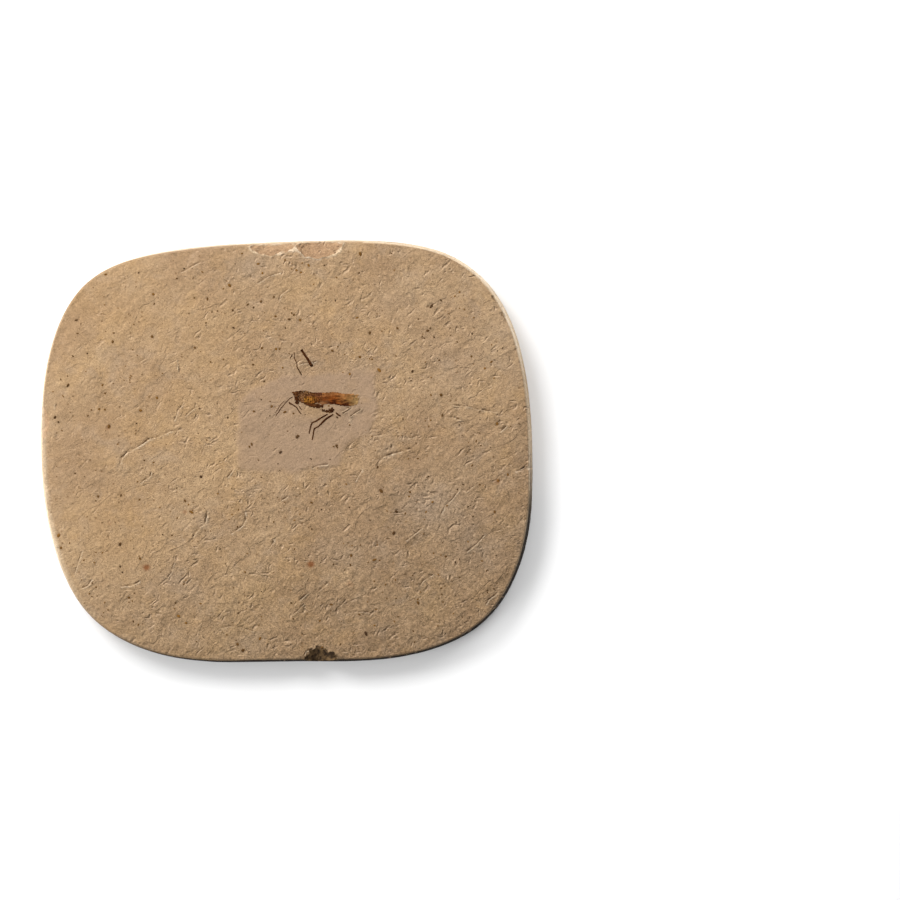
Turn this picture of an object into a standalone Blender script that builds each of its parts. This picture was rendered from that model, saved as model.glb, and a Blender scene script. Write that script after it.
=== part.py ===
# Grasshopper fossil lying in its limestone slab.
# Metres, +Z up. The origin is under the middle of the slab, on the plane that its back rests on.
# The grasshopper lies on its side, head towards -X and back towards +Y.

import math

import bmesh
import bpy
import numpy as np
from mathutils import Matrix, Vector, noise

MM = 0.001
FIT_GAP = 0.3 * MM  # clear space between a fossil piece and its bed

# Slab
THICKNESS = 10 * MM
EDGE_FLARE = 1.8 * MM  # how far the foot of the edge stands out past the face
FACE_CELLS = (50, 42)  # cells of the face along X and along Y
SPLINE_STEPS = 24  # points that the outline gets between two of its own
# Foot of the edge, in millimetres, anticlockwise from +X.
OUTLINE = (
    (82.3, -1), (79.5, 29), (67.5, 56), (55, 65.6), (40, 69.6), (5, 70.4),
    (-39, 67.2), (-67.2, 56.5), (-79, 35.5), (-82.5, 7), (-78.4, -31), (-65.8, -55.5),
    (-41, -68.6), (0, -70.4), (41, -68.2), (66.8, -56.2), (79.6, -33),
)
# The edge's rings from the face down: share of the flare left to go, height as a share of the thickness.
EDGE_PROFILE = ((0.72, 0.955), (0.5, 0.78), (0.14, 0.3), (0.0, 0.07), (0.16, 0.0))
EDGE_ROUGHNESS = 0.18 * MM
EDGE_ROUGH_LENGTH = 4.5 * MM

# Relief of the face
WAVE_HEIGHT = 0.35 * MM
WAVE_LENGTH = 30 * MM
LUMP_HEIGHT = 0.22 * MM
LUMP_LENGTH = 9 * MM
RIDGE_HEIGHT = 0.45 * MM
RIDGE_PITCH = 6 * MM
RIDGE_RUN = 26 * MM
RIDGE_ANGLE = math.radians(38)  # the ridges climb to the upper right
RIDGES_START = 18 * MM
RIDGES_FULL = 48 * MM
WORN_BAND = 4 * MM  # width along the edge that has worn down
WORN_DROP = 0.3 * MM
# Where each pattern is taken through the noise, so that they don't repeat one another.
WAVE_LEVEL = 1.7
LUMP_LEVEL = 1.1
RIDGE_LEVEL = 4.0
PATCH_LEVEL = 2.2

# Patch that was ground smooth round the insect
PATCH_CENTRE = (6.5 * MM, 8.5 * MM)
PATCH_HALF = (22 * MM, 16.5 * MM)
PATCH_DROP = 0.3 * MM
PATCH_BORDER = (0.82, 1.12)  # where the smooth ground ends, as a share of the patch's reach
PATCH_RAGGED = 0.12

# Scoops broken or worn out of the stone, in millimetres: centre, radii and turn in degrees.
SCOOPS = {
    "chip_top_left": ((-4, 70.5, 11.0), (9.5, 6.0, 3.0), 4),
    "chip_top_right": ((10.8, 70.2, 11.2), (9.5, 6.7, 3.4), -3),
    "chip_left": ((-82.6, 9.5, 11.0), (5.2, 7.4, 3.0), 0),
    "notch_bottom": ((11.2, -71.2, 9.4), (4.9, 5.6, 5.2), 8),
    "notch_bottom_right": ((15.6, -70.6, 10.2), (3.6, 4.2, 3.4), -12),
    "nick_right": ((81.8, -5.2, 10.4), (3.4, 0.9, 1.8), 16),
    "nick_upper_right_a": ((72.9, 45.2, 10.4), (1.0, 2.0, 1.6), 28),
    "nick_upper_right_b": ((69.4, 50.8, 10.4), (0.9, 1.6, 1.4), 34),
    "pit_oval": ((49.5, -14.0, 9.95), (1.9, 0.8, 0.8), 5),
    "pit_upper_right": ((53.9, 52.1, 9.95), (0.8, 1.5, 0.6), -15),
}

SCOOP_SEGMENTS = (18, 9)  # round its middle, from pole to pole

# Open cracks in the face, in millimetres.
CRACK_RADIUS = 0.32 * MM
CRACK_END = 0.4  # its radius at the ends, as a share
CRACKS = {
    "crack_west": ((-54.9, -4.1), (-54.4, -2.3), (-50.6, 0.7), (-45.6, 4), (-40.8, 5.3), (-38.9, 6.2)),
    "crack_west_low": ((-48.4, -10.8), (-45.1, -8.3), (-44.7, -7.4)),
    "crack_south_west": ((-30.7, -28.2), (-29.1, -25.6), (-26.8, -24.2)),
    "crack_south": ((-17.8, -27.2), (-14.3, -24.8), (-14, -22.9)),
    "crack_south_low": ((2.7, -51.1), (5.3, -49), (7.2, -47.4)),
    "crack_middle_east": ((31, -3.6), (32.6, -2), (38.6, -0.1), (41.1, 0.7)),
    "crack_east": ((51.3, -21.7), (53.2, -17.9), (57.6, -12.8)),
    "crack_east_high": ((56.1, 15.1), (60.5, 14.8), (63.7, 13.9)),
    "crack_south_east": ((60.3, -33.4), (63.4, -30.9), (66, -28)),
    "crack_south_east_low": ((44.8, -44.5), (46.4, -42.4), (48.8, -41.2)),
    "crack_south_middle": ((40.2, -29.6), (42.7, -27.7), (44.9, -25.9)),
    "crack_leg_print": ((21.9, 11.8), (23.4, 12.8), (24.9, 13.8)),
}

# Flat pieces of the insect, in millimetres, anticlockwise.
BED_DEPTH = 0.5 * MM  # how deep a flat piece sits in the stone
BED_CUT_HEIGHT = 2.5 * MM  # how far its bed's cutter stands out of the stone
BED_CORNER = 0.6  # limits how far a sharp corner of the bed runs out
PLATE_SHOULDER = 0.15 * MM  # how far its edge stands above the stone
# The two steps that round a flat piece's top: width and rise, as shares of its crown.
CROWN_STEPS = ((0.5, 0.65), (0.5, 0.35))
# Each flat piece's finish, crown height and outline.
PLATES = {
    "head": (
        "dark chitin", 0.16,
        ((2.1, 19.6), (2.4, 18.8), (2.9, 18.2), (2.8, 17.2), (2.9, 16.5), (3.2, 15.6), (4, 15.3),
         (4.5, 16.2), (4, 17.4), (3.95, 18.4), (3.95, 19.5), (3.45, 19.1), (2.7, 19.75)),
    ),
    "pronotum": (
        "dark chitin", 0.3,
        ((4.3, 18.4), (4.45, 17), (5.2, 16.4), (5.9, 15.8), (6.1, 16.3), (6.05, 17.5), (6.3, 18.4),
         (7.2, 18.9), (8, 19.5), (7.3, 19.8), (6.1, 20.05), (4.9, 20), (4.3, 19.7)),
    ),
    "thorax": (
        "golden chitin", 0.35,
        ((6.45, 17.5), (6.45, 16.2), (7, 15.75), (8.5, 15.75), (10.2, 15.95), (11.2, 16.4), (11.3, 17.6),
         (11.3, 19.4), (9.4, 19.4), (8.35, 19.45), (7.5, 18.75), (6.65, 18.2)),
    ),
    "leg_bases": (
        "dark chitin", 0.16,
        ((6.7, 15.3), (7.9, 14.8), (9.7, 14.4), (10.3, 14.4), (11.9, 14.6), (12.2, 15.1), (11.4, 15.75),
         (10.2, 15.55), (8.5, 15.4)),
    ),
    "forewings": (
        "amber chitin", 0.4,
        ((11.7, 18.9), (11.7, 16.2), (13.7, 15.9), (16.2, 15.4), (18.6, 15), (20.3, 14.8), (22.9, 15.1),
         (24.6, 15.9), (24.7, 17.3), (24.4, 18.6), (22.3, 18.7), (19.5, 18.7), (17.6, 19.1),
         (16.2, 19.45), (14.8, 19.4), (13.9, 19.2)),
    ),
    "hip": (
        "dark chitin", 0.16,
        ((12.9, 13.6), (13, 13), (13.6, 12.85), (14.4, 13.05), (15.2, 12.75), (15.9, 13), (16.1, 13.8),
         (15.6, 14.35), (14.8, 14.35), (14.2, 13.85), (13.3, 14)),
    ),
}

# Thin pieces of the insect, in millimetres: X, Y and radius at each point.
LIMBS = {
    "antenna_near": (
        (2.35, 18, 0.15), (1.3, 17.4, 0.14), (0.1, 16.2, 0.14), (-1.1, 14.7, 0.13), (-1.9, 13.9, 0.13),
        (-2.2, 13.1, 0.12), (-3, 12.1, 0.11), (-3.4, 11.5, 0.1),
    ),
    "antenna_far": (
        (-0.65, 16.5, 0.11), (-1.35, 15.75, 0.12), (-2.05, 14.9, 0.12), (-2.5, 14.1, 0.12),
        (-3, 13.35, 0.11), (-3.5, 12.7, 0.1),
    ),
    "foreleg_near": (
        (1.2, 16, 0.27), (2.3, 15.4, 0.22), (3.5, 14.6, 0.2), (4, 13.9, 0.17), (4.4, 13.2, 0.15),
        (5.2, 12.3, 0.11),
    ),
    "foreleg_far": ((4.45, 14.85, 0.15), (4.8, 14.3, 0.15), (5.35, 13.7, 0.13)),
    "middle_leg": (
        (13.9, 12.2, 0.18), (13.4, 11.9, 0.22), (11.5, 10.9, 0.26), (10.2, 10, 0.25), (8.7, 9.4, 0.2),
        (7.9, 6.5, 0.17), (7.8, 5.7, 0.12),
    ),
    "hind_leg": (
        (15.8, 12.1, 0.24), (15.1, 11.7, 0.3), (13.4, 10.7, 0.33), (11.8, 9.1, 0.3), (10.8, 8.1, 0.2),
        (10.2, 7.85, 0.2), (9.5, 7.4, 0.23), (9.2, 5.7, 0.2), (8.8, 3.7, 0.15),
    ),
    "leg_stub": ((16.75, 12.55, 0.18), (17.4, 12.1, 0.28), (18.1, 11.6, 0.16)),
    "loose_femur": (
        (5.2, 33.7, 0.36), (5.6, 33.1, 0.27), (6.4, 31.9, 0.27), (7.2, 30.7, 0.3), (7.9, 29.6, 0.33),
        (8.5, 28.6, 0.4),
    ),
    "loose_tibia": (
        (2.8, 32.8, 0.18), (3, 30.6, 0.15), (3.7, 29.3, 0.18), (3.8, 27.8, 0.18), (4.4, 26.9, 0.18),
        (5.3, 25.4, 0.17),
    ),
    "loose_tarsus": ((2.15, 31.9, 0.14), (1.4, 30.7, 0.15)),
}

# Colour and roughness of each material.
FINISHES = {
    "limestone": ((0.43, 0.27, 0.16, 1), 0.9),
    "dark chitin": ((0.05, 0.022, 0.01, 1), 0.6),
    "golden chitin": ((0.25, 0.12, 0.03, 1), 0.6),
    "amber chitin": ((0.28, 0.09, 0.025, 1), 0.55),
}


def clear_scene():
    for thing in list(bpy.data.objects):
        bpy.data.objects.remove(thing)


def new_collection(name, shown):
    collection = bpy.data.collections.new(name)
    collection.hide_render = not shown
    bpy.context.scene.collection.children.link(collection)
    return collection


def new_material(name):
    colour, roughness = FINISHES[name]
    material = bpy.data.materials.new(name)
    material.use_nodes = True
    shader = material.node_tree.nodes["Principled BSDF"]
    shader.inputs["Base Color"].default_value = colour
    shader.inputs["Roughness"].default_value = roughness
    return material


def object_from(bm, name, collection):
    """Turn a bmesh into an object in a collection, its faces pointing out."""
    bmesh.ops.recalc_face_normals(bm, faces=bm.faces)
    mesh = bpy.data.meshes.new(name)
    bm.to_mesh(mesh)
    bm.free()
    thing = bpy.data.objects.new(name, mesh)
    collection.objects.link(thing)
    if collection.hide_render:
        thing.hide_render = True
        thing.display_type = "WIRE"
    return thing


def closed_spline(points):
    """A smooth closed curve through the points: a periodic cubic, paced by the distance between them."""
    points = np.array(points, float)
    count = len(points)
    after = np.roll(points, -1, axis=0)
    before = np.roll(points, 1, axis=0)
    step = np.linalg.norm(after - points, axis=1)
    last = np.roll(step, 1)
    system = np.zeros((count, count))
    for i in range(count):
        system[i, i - 1] = step[i]
        system[i, i] = 2 * (last[i] + step[i])
        system[i, (i + 1) % count] = last[i]
    right = 3 * (last / step)[:, None] * (after - points) + 3 * (step / last)[:, None] * (points - before)
    slope = np.linalg.solve(system, right)
    t = (np.arange(SPLINE_STEPS) / SPLINE_STEPS)[None, :, None]
    start = points[:, None]
    end = after[:, None]
    pull = (step[:, None] * slope)[:, None]
    push = (step[:, None] * np.roll(slope, -1, axis=0))[:, None]
    curve = (
        (2 * t**3 - 3 * t**2 + 1) * start + (t**3 - 2 * t**2 + t) * pull
        + (3 * t**2 - 2 * t**3) * end + (t**3 - t**2) * push
    )
    return curve.reshape(-1, 2)


RIM = closed_spline(OUTLINE) * MM
RIM_ANGLES = np.arctan2(RIM[:, 1], RIM[:, 0])
RIM_RADII = np.hypot(RIM[:, 0], RIM[:, 1])
HALF_LENGTH = np.abs(RIM[:, 0]).max()
HALF_WIDTH = np.abs(RIM[:, 1]).max()


def rim_radius(angle):
    return np.interp(angle, RIM_ANGLES, RIM_RADII, period=2 * math.pi)


def smooth_step(low, high, value):
    share = min(max((value - low) / (high - low), 0), 1)
    return share * share * (3 - 2 * share)


def patch_share(x, y):
    """1 on the ground patch, 0 off it, with a soft and slightly ragged border."""
    across = (x - PATCH_CENTRE[0]) / PATCH_HALF[0]
    up = (y - PATCH_CENTRE[1]) / PATCH_HALF[1]
    reach = math.hypot(across * across, up * up)
    ragged = PATCH_RAGGED * noise.noise(Vector((x / LUMP_LENGTH, y / LUMP_LENGTH, PATCH_LEVEL)))
    return 1 - smooth_step(*PATCH_BORDER, math.sqrt(reach) + ragged)


def face_height(x, y):
    """Height of the stone's face: waves, lumps, ridges on the right, a smooth patch and a worn edge."""
    waves = WAVE_HEIGHT * noise.noise(Vector((x / WAVE_LENGTH, y / WAVE_LENGTH, WAVE_LEVEL)))
    lumps = LUMP_HEIGHT * noise.noise(Vector((x / LUMP_LENGTH, y / LUMP_LENGTH, LUMP_LEVEL)))
    along = x * math.cos(RIDGE_ANGLE) + y * math.sin(RIDGE_ANGLE)
    across = y * math.cos(RIDGE_ANGLE) - x * math.sin(RIDGE_ANGLE)
    ridges = RIDGE_HEIGHT * noise.noise(Vector((along / RIDGE_RUN, across / RIDGE_PITCH, RIDGE_LEVEL)))
    relief = waves + lumps + ridges * smooth_step(RIDGES_START, RIDGES_FULL, x)
    patch = patch_share(x, y)
    to_edge = rim_radius(math.atan2(y, x)) - EDGE_FLARE - math.hypot(x, y)
    worn = WORN_DROP * (1 - smooth_step(0, WORN_BAND, to_edge))
    return THICKNESS + relief * (1 - patch) - PATCH_DROP * patch - worn


def on_face(u, v):
    """The face's point for a place (u, v) in the square from -1 to 1."""
    out = max(abs(u), abs(v))
    if out == 0:
        return 0.0, 0.0
    angle = math.atan2(v * HALF_WIDTH, u * HALF_LENGTH)
    edge = (rim_radius(angle) - EDGE_FLARE) * out
    bend = out * out
    x = (1 - bend) * u * (HALF_LENGTH - EDGE_FLARE) + bend * edge * math.cos(angle)
    y = (1 - bend) * v * (HALF_WIDTH - EDGE_FLARE) + bend * edge * math.sin(angle)
    return x, y


def make_slab(collection):
    """The face is a bent grid; its border is drawn down ring by ring and closed by the flat back."""
    bm = bmesh.new()
    bmesh.ops.create_grid(bm, x_segments=FACE_CELLS[0], y_segments=FACE_CELLS[1], size=1)
    for vert in bm.verts:
        x, y = on_face(vert.co.x, vert.co.y)
        vert.co = (x, y, face_height(x, y))
    border = [edge for edge in bm.edges if edge.is_boundary]
    for flare_left, height in EDGE_PROFILE:
        made = bmesh.ops.extrude_edge_only(bm, edges=border)["geom"]
        border = [item for item in made if isinstance(item, bmesh.types.BMEdge) and item.is_boundary]
        for vert in {vert for edge in border for vert in edge.verts}:
            angle = math.atan2(vert.co.y, vert.co.x)
            rough = EDGE_ROUGHNESS * noise.noise(vert.co / EDGE_ROUGH_LENGTH) if height else 0
            radius = rim_radius(angle) - flare_left * EDGE_FLARE - abs(rough)
            vert.co = (radius * math.cos(angle), radius * math.sin(angle), height * THICKNESS)
    bmesh.ops.contextual_create(bm, geom=border)
    slab = object_from(bm, "slab", collection)
    slab.data.materials.append(bpy.data.materials["limestone"])
    return slab


def make_scoop(name, collection):
    centre, radii, turn = SCOOPS[name]
    bm = bmesh.new()
    bmesh.ops.create_uvsphere(bm, u_segments=SCOOP_SEGMENTS[0], v_segments=SCOOP_SEGMENTS[1], radius=1)
    place = Matrix.Translation(Vector(centre) * MM) @ Matrix.Rotation(math.radians(turn), 4, "Z")
    bmesh.ops.transform(bm, matrix=place @ Matrix.Diagonal((*(r * MM for r in radii), 1)), verts=bm.verts)
    return object_from(bm, name, collection)


def grown(outline, distance):
    """The anticlockwise outline moved outwards by a distance, corner by corner."""
    points = [Vector(point) for point in outline]
    moved = []
    for i, point in enumerate(points):
        before = (point - points[i - 1]).normalized()
        after = (points[(i + 1) % len(points)] - point).normalized()
        out = Vector((before.y + after.y, -before.x - after.x)).normalized()
        lean = max(out.dot(Vector((after.y, -after.x))), BED_CORNER)
        moved.append(point + out * (distance / lean))
    return moved


def prism(outline, low, high):
    """A closed block over the outline, from a filled 2D curve that is extruded both ways."""
    curve = bpy.data.curves.new("outline", "CURVE")
    curve.dimensions = "2D"
    curve.fill_mode = "BOTH"
    curve.extrude = (high - low) / 2
    spline = curve.splines.new("POLY")
    spline.points.add(len(outline) - 1)
    spline.use_cyclic_u = True
    for point, (x, y) in zip(spline.points, outline):
        point.co = (x, y, 0, 1)
    return mesh_of(curve, Matrix.Translation((0, 0, (high + low) / 2)))


def tube(path, radii):
    """A closed tube along the path, its radius set point by point."""
    curve = bpy.data.curves.new("path", "CURVE")
    curve.dimensions = "3D"
    curve.bevel_depth = MM
    curve.bevel_resolution = 1
    curve.use_fill_caps = True
    spline = curve.splines.new("POLY")
    spline.points.add(len(path) - 1)
    for point, place, radius in zip(spline.points, path, radii):
        point.co = (*place, 1)
        point.radius = radius / MM
    return mesh_of(curve, Matrix())


def mesh_of(curve, place):
    """The curve's mesh as a bmesh, with its caps welded on."""
    guide = bpy.data.objects.new("guide", curve)
    bpy.context.scene.collection.objects.link(guide)
    guide.matrix_world = place
    bpy.context.view_layer.update()
    seen = guide.evaluated_get(bpy.context.evaluated_depsgraph_get())
    mesh = bpy.data.meshes.new_from_object(seen)
    bm = bmesh.new()
    bm.from_mesh(mesh)
    bmesh.ops.transform(bm, matrix=place, verts=bm.verts)
    bmesh.ops.remove_doubles(bm, verts=bm.verts, dist=0.01 * MM)
    bpy.data.objects.remove(guide)
    bpy.data.meshes.remove(mesh)
    return bm


def make_plate(name, parts, beds):
    """A flat piece with a crowned top, and the block that cuts its bed."""
    finish, crown, outline = PLATES[name]
    outline = [Vector(point) * MM for point in outline]
    middle = sum(outline, Vector((0, 0))) / len(outline)
    ground = face_height(*middle)
    shoulder = ground + PLATE_SHOULDER
    bm = prism(outline, ground - BED_DEPTH, shoulder)
    top = [face for face in bm.faces if face.calc_center_median().z > shoulder - 0.01 * MM]
    for width, rise in CROWN_STEPS:
        step = {"thickness": width * crown * MM, "depth": rise * crown * MM}
        bmesh.ops.inset_region(bm, faces=top, use_even_offset=True, **step)
    plate = object_from(bm, name, parts)
    plate.data.materials.append(bpy.data.materials[finish])
    bed = prism(grown(outline, FIT_GAP), ground - BED_DEPTH - FIT_GAP, ground + BED_CUT_HEIGHT)
    return object_from(bed, name + "_bed", beds)


def make_limb(name, parts, beds):
    """A thin rod sunk to its middle in the stone, and the wider rod that cuts its bed."""
    path = []
    for x, y, _ in LIMBS[name]:
        path.append(Vector((x * MM, y * MM, face_height(x * MM, y * MM))))
    radii = [radius * MM for _, _, radius in LIMBS[name]]
    limb = object_from(tube(path, radii), name, parts)
    limb.data.materials.append(bpy.data.materials["dark chitin"])
    for polygon in limb.data.polygons:
        polygon.use_smooth = True
    first = path[0] + (path[0] - path[1]).normalized() * FIT_GAP
    last = path[-1] + (path[-1] - path[-2]).normalized() * FIT_GAP
    wide = [radius + FIT_GAP for radius in radii]
    bed = tube([first, *path[1:-1], last], wide)
    return object_from(bed, name + "_bed", beds)


def make_crack(name, cutters):
    path = [Vector((x * MM, y * MM, face_height(x * MM, y * MM))) for x, y in CRACKS[name]]
    radii = [CRACK_RADIUS] * len(path)
    radii[0] = radii[-1] = CRACK_END * CRACK_RADIUS
    return object_from(tube(path, radii), name, cutters)


def cut(body, cutter):
    boolean = body.modifiers.new(cutter.name, "BOOLEAN")
    boolean.operation = "DIFFERENCE"
    boolean.solver = "EXACT"
    boolean.object = cutter


def main():
    clear_scene()
    parts = new_collection("grasshopper fossil", True)
    cutters = new_collection("cutters", False)
    for finish in FINISHES:
        new_material(finish)
    slab = make_slab(parts)
    made = [make_scoop(name, cutters) for name in SCOOPS]
    made += [make_crack(name, cutters) for name in CRACKS]
    made += [make_plate(name, parts, cutters) for name in PLATES]
    made += [make_limb(name, parts, cutters) for name in LIMBS]
    for cutter in made:
        cut(slab, cutter)


main()
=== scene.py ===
# Grasshopper fossil in its limestone slab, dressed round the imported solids.
# Metres, +Z up. The origin is under the middle of the slab. Sizes in the dictionaries are in millimetres.

import math

import bmesh
import bpy
import numpy as np
from mathutils import Matrix, Vector, noise


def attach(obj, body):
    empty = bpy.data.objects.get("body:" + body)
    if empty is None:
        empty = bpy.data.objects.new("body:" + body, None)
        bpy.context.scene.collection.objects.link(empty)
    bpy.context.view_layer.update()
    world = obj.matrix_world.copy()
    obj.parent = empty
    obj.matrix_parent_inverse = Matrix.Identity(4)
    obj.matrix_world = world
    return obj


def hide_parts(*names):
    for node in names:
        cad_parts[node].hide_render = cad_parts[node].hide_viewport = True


mm = 0.001
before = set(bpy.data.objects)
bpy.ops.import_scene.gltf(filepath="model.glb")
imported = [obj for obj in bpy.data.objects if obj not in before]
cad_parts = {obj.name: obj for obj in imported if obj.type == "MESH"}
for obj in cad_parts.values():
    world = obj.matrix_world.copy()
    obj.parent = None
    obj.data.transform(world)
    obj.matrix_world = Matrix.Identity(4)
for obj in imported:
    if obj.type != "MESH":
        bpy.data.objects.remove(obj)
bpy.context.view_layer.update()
print("frame loaded:", len(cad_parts), "solids")


# Helpers

def hexColour(text):  # sRGB hex to the linear colour that the shaders use
    shares = [int(text[i:i + 2], 16) / 255 for i in (0, 2, 4)]
    return (*[s / 12.92 if s < 0.04045 else ((s + 0.055) / 1.055) ** 2.4 for s in shares], 1)


def addNode(tree, kind, inputs=None, **settings):  # inputs holds values, or sockets to link
    node = tree.nodes.new(kind)
    for name, value in settings.items():
        setattr(node, name, value)
    for name, value in (inputs or {}).items():
        if isinstance(value, bpy.types.NodeSocket):
            tree.links.new(value, node.inputs[name])
        else:
            node.inputs[name].default_value = value
    return node


# What a step's word stands for: node, its settings, the sockets of its values, the socket of its result. Any
# other word is an operation of the Math node.
nodeWork = {
    "range": ("ShaderNodeMapRange", {}, (0, 1, 2, 3, 4), 0),
    "step": ("ShaderNodeMapRange", {"interpolation_type": "SMOOTHSTEP"}, (0, 1, 2, 3, 4), 0),
    "mix": ("ShaderNodeMix", {"data_type": "RGBA"}, (0, 6, 7), 2),
    "tint": ("ShaderNodeMix", {"data_type": "RGBA", "blend_type": "MULTIPLY"}, (0, 6, 7), 2),
}


# A step is its name, its word and its values. A text among the values names an earlier step or a setting.
def addSteps(tree, wires, steps):
    for name, word, *values in steps:
        plain = ("ShaderNodeMath", {"operation": word.upper()}, (0, 1, 2), 0)
        kind, settings, sockets, result = nodeWork.get(word, plain)
        values = [wires[value] if isinstance(value, str) else value for value in values]
        wires[name] = addNode(tree, kind, dict(zip(sockets, values)), **settings).outputs[result]


def smoothStep(low, high, value):
    share = np.clip((value - low) / (high - low), 0, 1)
    return share * share * (3 - 2 * share)


# Noise over the plane, about -1 to 1. Each octave is half as long and half as strong as the one before. The
# level picks the pattern.
def noiseOver(x, y, length, level, octaves=1):
    total = np.zeros(len(x))
    for octave in range(octaves):
        size = length * 0.5**octave
        places = zip((x / size).tolist(), (y / size).tolist())
        layer = level + 3.7 * octave
        total += 0.5**octave * np.array([noise.noise(Vector((a, b, layer))) for a, b in places])
    return total


def distanceToPath(x, y, path):  # and on which side: above 0 is to the left of the path's way
    nearest = np.full(len(x), np.inf)
    side = np.zeros(len(x))
    for (ax, ay), (bx, by) in zip(path, path[1:]):
        dx, dy = bx - ax, by - ay
        share = np.clip(((x - ax) * dx + (y - ay) * dy) / (dx * dx + dy * dy), 0, 1)
        gap = np.hypot(x - ax - share * dx, y - ay - share * dy)
        closer = gap < nearest
        nearest[closer] = gap[closer]
        side[closer] = np.sign((y - ay) * dx - (x - ax) * dy)[closer]
    return nearest, side


def insideDistance(x, y, outline):  # above 0 inside the closed outline, and how far from it
    gap, _ = distanceToPath(x, y, [*outline, outline[0]])
    inside = np.zeros(len(x), bool)
    for (ax, ay), (bx, by) in zip(outline, [*outline[1:], outline[0]]):
        if ay != by:
            crossing = (ay > y) != (by > y)
            inside ^= crossing & (x < ax + (y - ay) * (bx - ax) / (by - ay))
    return np.where(inside, gap, -gap)


def newMaterial(name, look):
    material = bpy.data.materials.new(name)
    material.use_nodes = True
    shader = material.node_tree.nodes["Principled BSDF"]
    shader.inputs["Roughness"].default_value = look["roughness"]
    shader.inputs["Specular IOR Level"].default_value = look["specular"]
    return material, material.node_tree, shader


def finishPiece(thing, material, slot, *nodes):  # one piece of the slab, standing for its solids
    thing.data.materials.clear()
    thing.data.materials.append(material)
    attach(thing, "root")
    if nodes:
        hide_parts(*nodes)


def newPiece(name, points, faces):
    mesh = bpy.data.meshes.new(name)
    mesh.from_pydata(points, [], faces)
    mesh.update()
    thing = bpy.data.objects.new(name, mesh)
    bpy.context.scene.collection.objects.link(thing)
    return thing


def storeValue(mesh, name, values):
    mesh.attributes.new(name, "FLOAT", "POINT").data.foreach_set("value", np.asarray(values, np.float32))


# The face as the photograph shows it: this pixel is over the origin, and a pixel is this wide.
photo = {"originPixel": (285.65, 451.01), "pixelWidth": 0.33234}


def fromPhoto(pixel):
    across = (pixel[0] - photo["originPixel"][0]) * photo["pixelWidth"]
    up = (photo["originPixel"][1] - pixel[1]) * photo["pixelWidth"]
    return across * mm, up * mm


# Camera and light

studio = {
    "cameraHeight": 1000,
    "cameraPlace": (54.62, 0.34),
    "frameWidth": 302.13,  # what the photograph spans on the floor
    # place, size and power of the lamps: one from the upper left, two weak ones from either side of it
    "lamps": {
        "keyLight": ((-370, 430, 470), 400, 4.8),
        "rightLight": ((370, 490, 420), 400, 2.6),
        "leftLight": ((-550, -270, 420), 400, 2.6),
    },
    "skyTowards": (-0.5, 0.6, 0.62),  # the soft light is brightest this way
    "skyStrength": (0.14, 0.9),  # away from there, and towards it
    "skyFrom": (-0.5, 0.9),  # cosines to that way between which it brightens
}
floorLook = {"colour": "e8e8e8", "size": 6000, "roughness": 0.9, "specular": 0.1}


def makeCamera():
    data = bpy.data.cameras.new("camera")
    data.lens = data.sensor_width * studio["cameraHeight"] / studio["frameWidth"]
    camera = bpy.data.objects.new("camera", data)
    camera.location = (*[s * mm for s in studio["cameraPlace"]], studio["cameraHeight"] * mm)
    bpy.context.scene.collection.objects.link(camera)
    bpy.context.scene.camera = camera


def makeLamp(name, place, size, power):
    data = bpy.data.lights.new(name, "AREA")
    data.shape = "DISK"
    data.size = size * mm
    data.energy = power
    lamp = bpy.data.objects.new(name, data)
    lamp.location = [s * mm for s in place]
    lamp.rotation_euler = (-lamp.location).to_track_quat("-Z", "Y").to_euler()
    bpy.context.scene.collection.objects.link(lamp)


def makeStudio():
    makeCamera()
    for name, (place, size, power) in studio["lamps"].items():
        makeLamp(name, place, size, power)
    world = bpy.data.worlds.new("softSky")
    world.use_nodes = True
    tree = world.node_tree
    way = addNode(tree, "ShaderNodeTexCoord").outputs["Generated"]
    facing = addNode(tree, "ShaderNodeVectorMath", {0: way, 1: studio["skyTowards"]}, operation="DOT_PRODUCT")
    wires = {"facing": facing.outputs["Value"]}
    addSteps(tree, wires, [("strength", "range", "facing", *studio["skyFrom"], *studio["skyStrength"])])
    tree.nodes["Background"].inputs["Color"].default_value = (1, 1, 1, 1)
    tree.links.new(wires["strength"], tree.nodes["Background"].inputs["Strength"])
    bpy.context.scene.world = world
    bpy.context.scene.view_settings.view_transform = "Standard"
    half = floorLook["size"] / 2 * mm
    floor = newPiece("floor", [(-half, -half, 0), (half, -half, 0), (half, half, 0), (-half, half, 0)],
                     [(0, 1, 2, 3)])
    paper, tree, shader = newMaterial("whitePaper", floorLook)  # matt sweep under the slab
    shader.inputs["Base Color"].default_value = hexColour(floorLook["colour"])
    floor.data.materials.append(paper)


makeStudio()
print("studio ready")


# Slab: shape

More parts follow.
